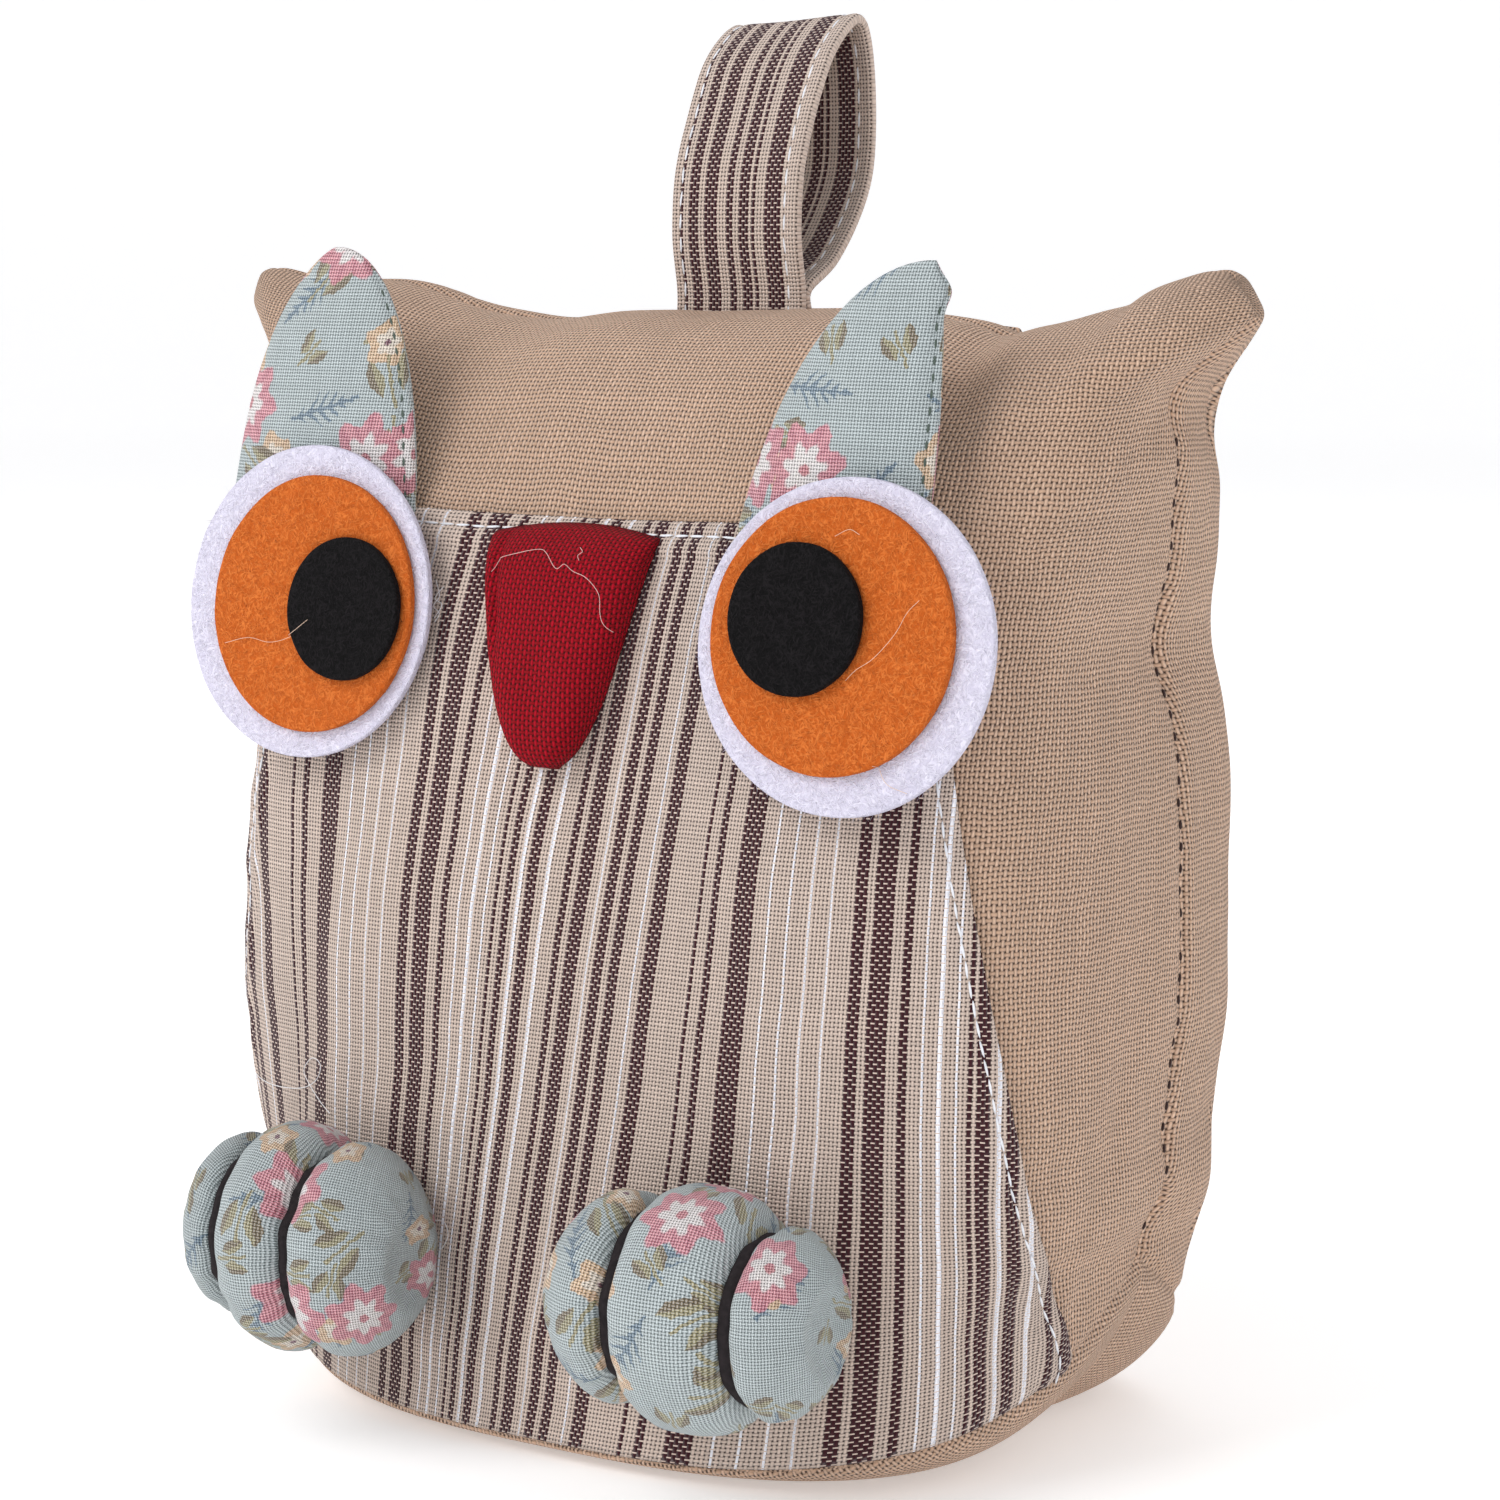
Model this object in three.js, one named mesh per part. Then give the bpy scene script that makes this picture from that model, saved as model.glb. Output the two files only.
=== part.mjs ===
// A weighted fabric door stop sewn as a round-eyed owl. Millimetres, +Z up, the face looks along -Y.
// The origin is on the floor, straight below the middle of the top seam.
import * as THREE from 'three';
import { mergeGeometries, mergeVertices } from 'three/addons/utils/BufferGeometryUtils.js';

const { clamp, lerp, smoothstep } = THREE.MathUtils;

// Body: a front and a back panel of coarse cotton, sewn round one seam and closed by a base panel.
const BODY_HALF_WIDTH = 82.5;
const BODY_FRONT_DEPTH = 53.5;
const BODY_BACK_DEPTH = 43;
const TOP_SEAM_HEIGHT = 185.5;
const BELLY_HEIGHT = 64;
const BASE_HALF_WIDTH = 76.5;
const BASE_FRONT_DEPTH = 57;
const BASE_BACK_DEPTH = 47;
const BASE_SEAM_HEIGHT_FRONT = 2.5;
const BASE_SEAM_HEIGHT_SIDE = 31;
const UNDERSIDE_ROUND_FRONT = 20;
const UNDERSIDE_ROUND_SIDE = 46;
const SECTION_POWER = 4.2;
const FOOT_SECTION_POWER = 2.9;
const PROFILE_POWER = 2.45;
const SIDE_SEAM_SET_BACK = 7;
const TOP_SEAM_DIP = 2.5;
const SIDE_NOTCH_DEPTH = 2.8;
const SIDE_NOTCH_HEIGHT = 132;
const SIDE_NOTCH_REACH = 15;
// Heights up to which the base draws the body in, and up to which its seam tilts the rows of cloth.
const BASE_TAPER_HEIGHT = 78;
const BASE_TAPER_POWER = 1.6;
const BASE_TILT_HEIGHT = 56;
// Powers of the share of the way to the side seam: how late the base seam rises, in front and behind.
const BASE_SEAM_RISE_FRONT = 3;
const BASE_SEAM_RISE_BACK = 2;
// The share of the middle line that lies below the belly's fullest height.
const BELLY_SHARE = 0.3;
// Where the dips beside the handle are, as a share of the way to the side, and how far they reach.
const TOP_DIP_PLACE = 0.66;
const TOP_DIP_REACH = 0.2;

// Ears: the two top corners of the panels, left unboxed and stuffed.
const EAR_REACH = 18.6;
const EAR_RISE = 9.5;
const EAR_ROUND = 13;
const EAR_FORWARD = 7;
// How far up the top seam's height the ears begin to stand out, and where they are at their widest.
const EAR_FROM = 0.87;
const EAR_FULL = 0.975;
const EAR_REACH_POWER = 5;
const EAR_RISE_POWER = 8;

// Belly panel: striped cotton, sewn flat on the front. Its half widths are measured along the cloth.
const PANEL_THICKNESS = 0.6;
const PANEL_TOP = 0.725;
const PANEL_BOTTOM = 0.004;
const PANEL_HALF_TOP = 61;
const PANEL_HALF_BOTTOM = 91;
const STRIPE_COUNT = 28;

// Handle: a flat striped strap, doubled into a loop and sewn into the top seam.
const STRAP_WIDTH = 25.6;
const STRAP_THICKNESS = 2;
const LOOP_HEIGHT = 49;
const LOOP_LEAN = 15;
const LOOP_GAPE = 21;
const LOOP_SET_BACK = 2;
const TAB_HEIGHT = 3;

// Eyes: three felt discs, glued in a stack.
const EYE_SPACING = 105.2;
const EYE_OFF_CENTRE = 0.8;
const EYE_TURN_OUT = 1.6;
const EYE_TILT_UP = 7.6;
const WHITE_RADIUS = 26;
const IRIS_RADIUS = 21.35;
const PUPIL_RADIUS = 11.8;
const FELT_THICKNESS = 1.4;
// How high each eye is, and how far its two upper discs are glued off the middle, inwards and upwards.
const EYES = {
  left: { height: 136.9, iris: { inwards: 2.4, up: -0.4 }, pupil: { inwards: 10.5, up: -0.9 } },
  right: { height: 135.5, iris: { inwards: 1.5, up: 1.4 }, pupil: { inwards: 7.1, up: 3.7 } },
};

// Ear tufts: stuffed leaves of printed cotton, held under the eyes and standing up past the top seam.
const TUFT_TIP_X = 58.5;
const TUFT_TIP_HEIGHT = 195.5;
const TUFT_TIP_BEHIND_BELLY = 19.5;
const TUFT_LENGTH = 61.5;
const TUFT_WIDTHS = { left: { inner: 24.5, outer: 9 }, right: { inner: 31, outer: 4.5 } };
const TUFT_LEAN = 0.222;
const TUFT_THICKNESS = 9.5;
const TUFT_ROOT_THICKNESS = 3;
const TUFT_EDGE_SHARE = 0.28;

// Beak: a padded patch of coarse red cloth.
const BEAK_LENGTH = 37;
const BEAK_TOP_HEIGHT = 150;
const BEAK_HALF_WIDTH = 16.2;
const BEAK_OFF_CENTRE = -1.2;
const BEAK_PADDING = 6;
const BEAK_EDGE = 1.4;
const BEAK_TOP_ARCH = 1.8;
const BEAK_TAPER_POWER = 0.45;

// Feet: stuffed puffs of printed cotton, drawn in by two black bands into three toes.
const FOOT_SPACING = 76.4;
const FOOT_HEIGHT = 34;
const FOOT_PROUD = 14.5;
const FEET = {
  left: { halfWidth: 22.8, bands: { outer: -10.5, inner: 4.7 } },
  right: { halfWidth: 25.5, bands: { inner: -8.5, outer: 12.6 } },
};
const FOOT_HALF_DEPTH = 17;
const FOOT_HALF_HEIGHT = 19.3;
const FOOT_END_POWER = 2.4;
const BAND_WIDTH = 1.9;
const BAND_THICKNESS = 0.9;
const GROOVE_DEPTH = 3;
const GROOVE_REACH = 3;

// Air between neighbouring pieces, and the extra that keeps one set of facets off another.
const GAP = 0.3;
const FACET_ALLOWANCE = 0.15;

const COLOURS = {
  tan: 0xa88b7b,
  cream: 0xc8b9aa,
  plum: 0x4a3438,
  felt_white: 0xdcd8ec,
  felt_orange: 0xd36e2e,
  felt_black: 0x1e1b1e,
  red: 0x80111e,
  print_ground: 0x909796,
  print_pink: 0xb9707a,
  print_peach: 0xc4a17c,
  print_olive: 0x5f5638,
};

const group = new THREE.Group();
const SIDES = [['left', -1], ['right', 1]];

function material(colour, roughness = 0.95) {
  return new THREE.MeshStandardMaterial({ color: colour, roughness, metalness: 0 });
}

function addPiece(name, geometry, pieceMaterial) {
  geometry.computeVertexNormals();
  const mesh = new THREE.Mesh(geometry, pieceMaterial);
  mesh.name = name;
  group.add(mesh);
  return mesh;
}

// A sheet of facets over rows of points. It faces a viewer who sees the rows go up and the points go right.
// The two halves have mirrored diagonals, so that no diagonal runs from seam to seam in a corner.
function sheet(rows, flipped = false) {
  const columns = rows[0].length;
  const index = [];
  for (let j = 0; j + 1 < rows.length; j++) {
    for (let i = 0; i + 1 < columns; i++) {
      const a = j * columns + i;
      const b = a + 1;
      const c = a + columns + 1;
      const d = a + columns;
      const facets = i < columns / 2 - 1 ? [a, b, d, b, c, d] : [a, b, c, a, c, d];
      index.push(...(flipped ? facets.reverse() : facets));
    }
  }
  const geometry = new THREE.BufferGeometry().setFromPoints(rows.flat());
  geometry.setIndex(index);
  return geometry;
}

function closed(sheets) {
  return mergeVertices(mergeGeometries(sheets), 1e-4);
}

// A closed slab between an outer and an inner face with the same rows and columns.
function slab(outer, inner) {
  const last = outer.length - 1;
  const rim = (near, far) => sheet([near, far]);
  const firstOf = (rows) => rows.map((row) => row[0]);
  const lastOf = (rows) => rows.map((row) => row[row.length - 1]);
  return closed([
    sheet(outer),
    sheet(inner, true),
    rim(inner[0], outer[0]),
    rim(outer[last], inner[last]),
    rim(firstOf(outer), firstOf(inner)),
    rim(lastOf(inner), lastOf(outer)),
  ]);
}

// Rows of points over a unit square of u (across) and v (up).
function rowsOf(rowCount, columnCount, pointAt, vFrom = 0, vTo = 1) {
  const rows = [];
  for (let j = 0; j <= rowCount; j++) {
    const v = lerp(vFrom, vTo, j / rowCount);
    rows.push(Array.from({ length: columnCount + 1 }, (_, i) => pointAt((2 * i) / columnCount - 1, v)));
  }
  return rows;
}

// Paints each facet with one colour, taken at its middle.
function painted(geometry, colourAt) {
  const flat = geometry.toNonIndexed();
  const position = flat.attributes.position;
  const colours = new Float32Array(position.count * 3);
  const middle = new THREE.Vector3();
  const corner = new THREE.Vector3();
  for (let i = 0; i < position.count; i += 3) {
    middle.set(0, 0, 0);
    for (let k = 0; k < 3; k++) middle.addScaledVector(corner.fromBufferAttribute(position, i + k), 1 / 3);
    const colour = new THREE.Color(colourAt(middle));
    for (let k = 0; k < 3; k++) colour.toArray(colours, (i + k) * 3);
  }
  flat.setAttribute('color', new THREE.BufferAttribute(colours, 3));
  return flat;
}

function printedMaterial() {
  return new THREE.MeshStandardMaterial({ vertexColors: true, roughness: 0.92, metalness: 0 });
}

// Body

// Half of a level section, from the middle of a panel to the side seam, measured along the cloth.
class Section extends THREE.Curve {
  constructor(halfWidth, depth, power) {
    super();
    Object.assign(this, { halfWidth, depth, power });
    this.arcLengthDivisions = 160;
  }

  getPoint(share, target = new THREE.Vector2()) {
    const angle = (share * Math.PI) / 2;
    const x = this.halfWidth * Math.sin(angle) ** (2 / this.power);
    const y = this.depth * Math.cos(angle) ** (2 / this.power);
    return target.set(x, y);
  }
}

// The front panel's middle line, from the base seam over the belly to the top seam, as depth and height.
class Profile extends THREE.Curve {
  getPoint(share, target = new THREE.Vector2()) {
    const { depth, low, height } = profileAt(share);
    return target.set(BODY_FRONT_DEPTH * depth + (BASE_FRONT_DEPTH - BODY_FRONT_DEPTH) * low, height);
  }
}

function profileAt(share) {
  if (share < BELLY_SHARE) {
    const below = 1 - share / BELLY_SHARE;
    return { depth: 1, low: below ** 2, height: lerp(BELLY_HEIGHT, BASE_SEAM_HEIGHT_FRONT, below) };
  }
  const angle = (((share - BELLY_SHARE) / (1 - BELLY_SHARE)) * Math.PI) / 2;
  const rise = Math.sin(angle) ** (2 / PROFILE_POWER);
  const depth = share === 1 ? 0 : Math.cos(angle) ** (2 / PROFILE_POWER);
  return { depth, low: 0, height: lerp(BELLY_HEIGHT, TOP_SEAM_HEIGHT, rise) };
}

const profile = new Profile();
profile.arcLengthDivisions = 400;

// One row of a panel at a share t of the way up. side is -1 for the front, 1 for the back.
function panelRow(side, t) {
  const { depth, low, height } = profileAt(profile.getUtoTmapping(t));
  const [full, atBase] = side < 0 ? [BODY_FRONT_DEPTH, BASE_FRONT_DEPTH] : [BODY_BACK_DEPTH, BASE_BACK_DEPTH];
  const high = height / TOP_SEAM_HEIGHT;
  const foot = 1 - smoothstep(height, 0, BASE_TAPER_HEIGHT);
  const notch = SIDE_NOTCH_DEPTH * Math.exp(-(((height - SIDE_NOTCH_HEIGHT) / SIDE_NOTCH_REACH) ** 2));
  const halfWidth = lerp(BODY_HALF_WIDTH, BASE_HALF_WIDTH, foot ** BASE_TAPER_POWER) - notch;
  const power = lerp(SECTION_POWER, FOOT_SECTION_POWER, foot);
  const section = new Section(halfWidth, full * depth + (atBase - full) * low, power);
  return { side, height, high, section, length: section.getLength() };
}

function rowPoint(row, s) {
  const across = Math.abs(s);
  const [x, y] = row.section.getPointAt(across);
  const point = new THREE.Vector3(x, row.side * y, row.height);
  point.x += EAR_REACH * smoothstep(row.high, EAR_FROM, EAR_FULL) * across ** EAR_REACH_POWER;
  const dip = TOP_SEAM_DIP * Math.exp(-(((across - TOP_DIP_PLACE) / TOP_DIP_REACH) ** 2));
  point.z += smoothstep(row.high, 0.7, 1) * (EAR_RISE * across ** EAR_RISE_POWER - dip);
  const rise = across ** (row.side < 0 ? BASE_SEAM_RISE_FRONT : BASE_SEAM_RISE_BACK);
  const tilt = 1 - smoothstep(row.height, 0, BASE_TILT_HEIGHT);
  point.z += (BASE_SEAM_HEIGHT_SIDE - BASE_SEAM_HEIGHT_FRONT) * rise * tilt;
  roundCorner(point);
  point.y += SIDE_SEAM_SET_BACK * across ** 3 * (1 - smoothstep(point.z / TOP_SEAM_HEIGHT, 0.6, 1));
  point.y -= EAR_FORWARD * across ** 4 * smoothstep(point.z / TOP_SEAM_HEIGHT, 0.8, 1);
  point.x *= Math.sign(s);
  return point;
}

// The square tip of an ear is drawn in to a quarter disc.
function roundCorner(point) {
  const cornerX = BODY_HALF_WIDTH + EAR_REACH - EAR_ROUND;
  const cornerZ = TOP_SEAM_HEIGHT + EAR_RISE - EAR_ROUND;
  const u = clamp((point.x - cornerX) / EAR_ROUND, 0, 1);
  const v = clamp((point.z - cornerZ) / EAR_ROUND, 0, 1);
  if (u === 0 || v === 0) return;
  point.x = cornerX + EAR_ROUND * u * Math.sqrt(1 - (v * v) / 2);
  point.z = cornerZ + EAR_ROUND * v * Math.sqrt(1 - (u * u) / 2);
}

function panelRows(side, rowCount, columnCount) {
  return Array.from({ length: rowCount + 1 }, (_, j) => {
    const row = panelRow(side, j / rowCount);
    return Array.from({ length: columnCount + 1 }, (_, i) => rowPoint(row, (2 * i) / columnCount - 1));
  });
}

// From the base seam the cloth rounds under to a flat that rests on the floor.
function underside(seam, ringCount) {
  const widest = Math.max(...seam.map((point) => Math.abs(point.x)));
  const rings = [];
  for (let k = 0; k <= ringCount; k++) {
    const angle = ((k / ringCount) * Math.PI) / 2;
    rings.push(seam.map((point) => {
      const sideways = (Math.abs(point.x) / widest) ** 4;
      const reach = lerp(UNDERSIDE_ROUND_FRONT, UNDERSIDE_ROUND_SIDE, sideways);
      const shrink = 1 - (reach * (1 - Math.cos(angle))) / Math.hypot(point.x, point.y);
      const height = k === ringCount ? 0 : point.z * (1 - Math.sin(angle));
      return new THREE.Vector3(point.x * shrink, point.y * shrink, height);
    }));
  }
  const hub = new THREE.Vector3(0, 0, 0);
  rings.push(seam.map(() => hub));
  return sheet(rings, true);
}

const BODY_ROWS = 24;
const BODY_COLUMNS = 26;
const bodyFront = panelRows(-1, BODY_ROWS, BODY_COLUMNS);
const bodyBack = panelRows(1, BODY_ROWS, BODY_COLUMNS);
const baseSeam = [...bodyFront[0], ...bodyBack[0].slice(1, -1).reverse(), bodyFront[0][0]];

function withoutSlivers(geometry) {
  const position = geometry.attributes.position;
  const kept = [];
  const corners = [0, 1, 2].map(() => new THREE.Vector3());
  for (let i = 0; i < geometry.index.count; i += 3) {
    const triangle = [0, 1, 2].map((k) => geometry.index.getX(i + k));
    corners.forEach((corner, k) => corner.fromBufferAttribute(position, triangle[k]));
    if (new THREE.Triangle(...corners).getArea() > 1e-6) kept.push(...triangle);
  }
  geometry.setIndex(kept);
  return geometry;
}

const body = withoutSlivers(closed([sheet(bodyFront), sheet(bodyBack, true), underside(baseSeam, 5)]));
addPiece('body', body, material(COLOURS.tan));

// Belly panel

// A point stood off the front panel, square to the cloth.
function offFront(s, t, distance) {
  const step = 0.004;
  const row = panelRow(-1, t);
  const across = rowPoint(row, s + step).sub(rowPoint(row, s - step));
  const [below, above] = [Math.max(t - step, 0), Math.min(t + step, 1)];
  const up = rowPoint(panelRow(-1, above), s).sub(rowPoint(panelRow(-1, below), s));
  return rowPoint(row, s).addScaledVector(across.cross(up).normalize(), distance);
}

const PANEL_ROWS = 16;
const PANEL_COLUMNS = 26;

function panelFace(distance) {
  return rowsOf(PANEL_ROWS, PANEL_COLUMNS, (u, v) => {
    const t = lerp(PANEL_BOTTOM, PANEL_TOP, v);
    const halfWidth = lerp(PANEL_HALF_BOTTOM, PANEL_HALF_TOP, v);
    return offFront((u * halfWidth) / panelRow(-1, t).length, t, distance);
  });
}

const panelInner = GAP + FACET_ALLOWANCE;
const panelOuter = panelFace(panelInner + PANEL_THICKNESS);
const STRIPES = [COLOURS.cream, COLOURS.plum, COLOURS.cream, COLOURS.cream, COLOURS.plum];
const stripe = (count) => STRIPES[((Math.floor(count) % STRIPES.length) + STRIPES.length) % STRIPES.length];

function panelColour(point) {
  const v = clamp(point.z / panelOuter[PANEL_ROWS][0].z, 0, 1);
  const halfWidth = lerp(PANEL_HALF_BOTTOM, PANEL_HALF_TOP, v);
  return stripe((point.x / halfWidth + 1) * 0.5 * STRIPE_COUNT);
}

addPiece('belly_panel', painted(slab(panelOuter, panelFace(panelInner)), panelColour), printedMaterial());

// The most forward of some sheets at a place on the front, as a Y, or Infinity where none reaches.
const frontSheets = [bodyFront, panelOuter];

function forwardFace(x, z) {
  let forward = Infinity;
  for (const rows of frontSheets) {
    for (let j = 0; j + 1 < rows.length; j++) {
      for (let i = 0; i + 1 < rows[0].length; i++) {
        const [a, b, c, d] = [rows[j][i], rows[j][i + 1], rows[j + 1][i + 1], rows[j + 1][i]];
        forward = Math.min(forward, yOnFacet(a, b, c, x, z), yOnFacet(a, c, d, x, z));
      }
    }
  }
  return forward;
}

function yOnFacet(a, b, c, x, z) {
  const area = (b.x - a.x) * (c.z - a.z) - (c.x - a.x) * (b.z - a.z);
  if (Math.abs(area) < 1e-9) return Infinity;
  const v = ((x - a.x) * (c.z - a.z) - (c.x - a.x) * (z - a.z)) / area;
  const w = ((b.x - a.x) * (z - a.z) - (x - a.x) * (b.z - a.z)) / area;
  if (v < 0 || w < 0 || v + w > 1) return Infinity;
  return a.y + v * (b.y - a.y) + w * (c.y - a.y);
}

// The back of a piece that lies on the front: kept off whatever is behind it.
function seatedBack(x, y, z, steepness = 1) {
  return Math.min(y, forwardFace(x, z) - (GAP + FACET_ALLOWANCE) * steepness);
}

// Handle

const LOOP_STEPS = 34;
const STRAP_STRIPES = 9;

// How high the top seam stands within a half width of its middle.
function highestNear(halfWidth) {
  const near = bodyFront[BODY_ROWS].filter((point) => Math.abs(point.x) <= halfWidth);
  return Math.max(...near.map((point) => point.z));
}

function strapOutline() {
  const base = highestNear(STRAP_WIDTH) + GAP;
  const foot = base + TAB_HEIGHT;
  const half = STRAP_THICKNESS / 2;
  const top = base + LOOP_HEIGHT - half;
  const rear = LOOP_GAPE - half;
  const middle = new THREE.SplineCurve([
    new THREE.Vector2(-half, foot),
    new THREE.Vector2(-half - 1.5, lerp(foot, top, 0.22)),
    new THREE.Vector2(-half, lerp(foot, top, 0.48)),
    new THREE.Vector2(LOOP_LEAN * 0.42, lerp(foot, top, 0.83)),
    new THREE.Vector2(LOOP_LEAN, top),
    new THREE.Vector2(lerp(LOOP_LEAN, rear, 0.75), lerp(foot, top, 0.9)),
    new THREE.Vector2(rear, lerp(foot, top, 0.6)),
    new THREE.Vector2(rear * 0.92, lerp(foot, top, 0.36)),
    new THREE.Vector2(rear * 0.5, lerp(foot, top, 0.12)),
    new THREE.Vector2(half, foot),
  ]);
  const outer = [new THREE.Vector2(STRAP_THICKNESS, base), new THREE.Vector2(-STRAP_THICKNESS, base)];
  const inner = [];
  for (let k = 0; k <= LOOP_STEPS; k++) {
    const point = middle.getPointAt(k / LOOP_STEPS);
    const along = middle.getTangentAt(k / LOOP_STEPS);
    const left = new THREE.Vector2(-along.y, along.x);
    outer.push(point.clone().addScaledVector(left, half));
    if (k > 1 && k < LOOP_STEPS - 1) inner.push(point.clone().addScaledVector(left, -half));
  }
  const shape = new THREE.Shape(outer);
  shape.holes.push(new THREE.Path(inner.reverse()));
  return shape;
}

function handle() {
  const options = { depth: STRAP_WIDTH, steps: STRAP_STRIPES, bevelEnabled: false };
  const geometry = new THREE.ExtrudeGeometry(strapOutline(), options);
  const turn = new THREE.Matrix4().makeBasis(
    new THREE.Vector3(0, 1, 0),
    new THREE.Vector3(0, 0, 1),
    new THREE.Vector3(1, 0, 0),
  );
  geometry.applyMatrix4(turn).translate(-STRAP_WIDTH / 2, LOOP_SET_BACK, 0);
  geometry.deleteAttribute('normal');
  geometry.deleteAttribute('uv');
  const strapColour = (point) => stripe((point.x / STRAP_WIDTH + 0.5) * STRAP_STRIPES);
  return painted(mergeVertices(geometry, 1e-4), strapColour);
}

addPiece('handle_loop', handle(), printedMaterial());

// Printed cotton: sprigs on a grey-blue ground, as a few round spots of colour

const SPOT_RADIUS = 3.6;
const SPOTS = [
  { colour: COLOURS.print_pink, offset: 0, pitch: 13 },
  { colour: COLOURS.print_peach, offset: 5.5, pitch: 17 },
  { colour: COLOURS.print_olive, offset: 11, pitch: 15 },
];

function printColour(point) {
  for (const { colour, offset, pitch } of SPOTS) {
    const wrap = (value) => Math.abs(((value % pitch) + pitch) % pitch - pitch / 2);
    const across = wrap(point.x + offset);
    const along = wrap(point.z + point.x * 0.4 - offset);
    if (Math.hypot(across, along) < SPOT_RADIUS) return colour;
  }
  return COLOURS.print_ground;
}

// Ear tufts

const TUFT_ROWS = 16;
const TUFT_COLUMNS = 10;
// The leaf stops just short of a point, where it would have no width.
const TUFT_BLUNTING = 0.06;
// The leaf's back leans against the body, so its gap is widened by the slope of the cloth there.
const TUFT_SLOPE = 1.8;

function tuftEdges(widths, high) {
  const inner = TUFT_TIP_X - widths.inner * Math.sqrt(1 - high * high);
  return [inner, TUFT_TIP_X + widths.outer * (1 - high ** 4)];
}

function tuftThickness(u, high) {
  const full = lerp(TUFT_ROOT_THICKNESS, TUFT_THICKNESS, smoothstep(high, 0.1, 0.5));
  return full * Math.sqrt(1 - high ** 3) * Math.sqrt(1 - (1 - TUFT_EDGE_SHARE ** 2) * u * u);
}

function tuft(side, widths) {
  const faceAt = (thick) => (u, v) => {
    const high = Math.sin((v * Math.PI) / 2);
    const [inner, outer] = tuftEdges(widths, high);
    const x = side * lerp(inner, outer, (side * u + 1) / 2);
    const below = TUFT_LENGTH * (1 - high);
    const middle = TUFT_TIP_BEHIND_BELLY - BODY_FRONT_DEPTH - below * TUFT_LEAN;
    const z = TUFT_TIP_HEIGHT - below;
    const back = seatedBack(x, middle + tuftThickness(u, high) / 2, z, TUFT_SLOPE);
    return new THREE.Vector3(x, back - thick * tuftThickness(u, high), z);
  };
  const rowsAt = (thick) => rowsOf(TUFT_ROWS, TUFT_COLUMNS, faceAt(thick), 0, 1 - TUFT_BLUNTING);
  const front = rowsAt(1);
  return { front, geometry: slab(front, rowsAt(0)) };
}

for (const [name, side] of SIDES) {
  const { front, geometry } = tuft(side, TUFT_WIDTHS[name]);
  addPiece(`ear_tuft_${name}`, painted(geometry, printColour), printedMaterial());
  frontSheets.push(front);
}

// Eyes

const FELT_SIDES = 44;

// The frame of an eye: its directions, and its centre, as far forward as what lies behind the disc needs.
function eyeFrame(side, height) {
  const out = THREE.MathUtils.degToRad(EYE_TURN_OUT) * side;
  const tilt = THREE.MathUtils.degToRad(EYE_TILT_UP);
  const right = new THREE.Vector3(Math.cos(out), Math.sin(out), 0);
  const ahead = new THREE.Vector3(Math.sin(out), -Math.cos(out), 0);
  const normal = ahead.multiplyScalar(Math.cos(tilt)).setZ(Math.sin(tilt));
  const up = normal.clone().cross(right);
  const centre = new THREE.Vector3(EYE_OFF_CENTRE + (side * EYE_SPACING) / 2, 0, height);
  const [rings, spokes] = [4, 24];
  let reach = -Infinity;
  for (let ring = 0; ring <= rings; ring++) {
    for (let k = 0; k < spokes; k++) {
      const angle = (k / spokes) * Math.PI * 2;
      const radius = (ring / rings) * WHITE_RADIUS;
      const x = centre.x + radius * Math.cos(angle);
      const z = centre.z + radius * Math.sin(angle);
      const y = forwardFace(x, z);
      if (y !== Infinity) reach = Math.max(reach, new THREE.Vector3(x, y, z).dot(normal));
    }
  }
  centre.y = (reach + GAP + FACET_ALLOWANCE - centre.dot(normal)) / normal.y;
  return { normal, right, up, centre };
}

function feltDisc(frame, radius, shiftRight, shiftUp, lift) {
  const disc = new THREE.CylinderGeometry(radius, radius, FELT_THICKNESS, FELT_SIDES);
  disc.deleteAttribute('normal');
  disc.deleteAttribute('uv');
  const centre = frame.centre.clone();
  centre.addScaledVector(frame.right, shiftRight).addScaledVector(frame.up, shiftUp);
  centre.addScaledVector(frame.normal, lift + FELT_THICKNESS / 2);
  const turn = new THREE.Matrix4().makeBasis(frame.right, frame.normal, frame.up.clone().negate());
  return mergeVertices(disc, 1e-4).applyMatrix4(turn).translate(centre.x, centre.y, centre.z);
}

for (const [name, side] of SIDES) {
  const { height, iris, pupil } = EYES[name];
  const frame = eyeFrame(side, height);
  const layer = FELT_THICKNESS + GAP;
  const discs = [
    ['white', WHITE_RADIUS, { inwards: 0, up: 0 }, COLOURS.felt_white],
    ['iris', IRIS_RADIUS, iris, COLOURS.felt_orange],
    ['pupil', PUPIL_RADIUS, pupil, COLOURS.felt_black],
  ];
  discs.forEach(([disc, radius, shift, colour], k) => {
    const geometry = feltDisc(frame, radius, -side * shift.inwards, shift.up, k * layer);
    addPiece(`eye_${disc}_${name}`, geometry, material(colour, 1));
  });
}

// Beak

const BEAK_CELLS = 12;
const BEAK_BLUNTING = 0.03;

// How full the padding is, from 0 on the beak's edge to 1 in its middle.
function beakFullness(u, v) {
  const crown = (1 - Math.abs(u) ** 2.6) * (1 - Math.abs(2 * v - 1) ** 3.5);
  return Math.max(crown, 0) ** 0.45;
}

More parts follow.
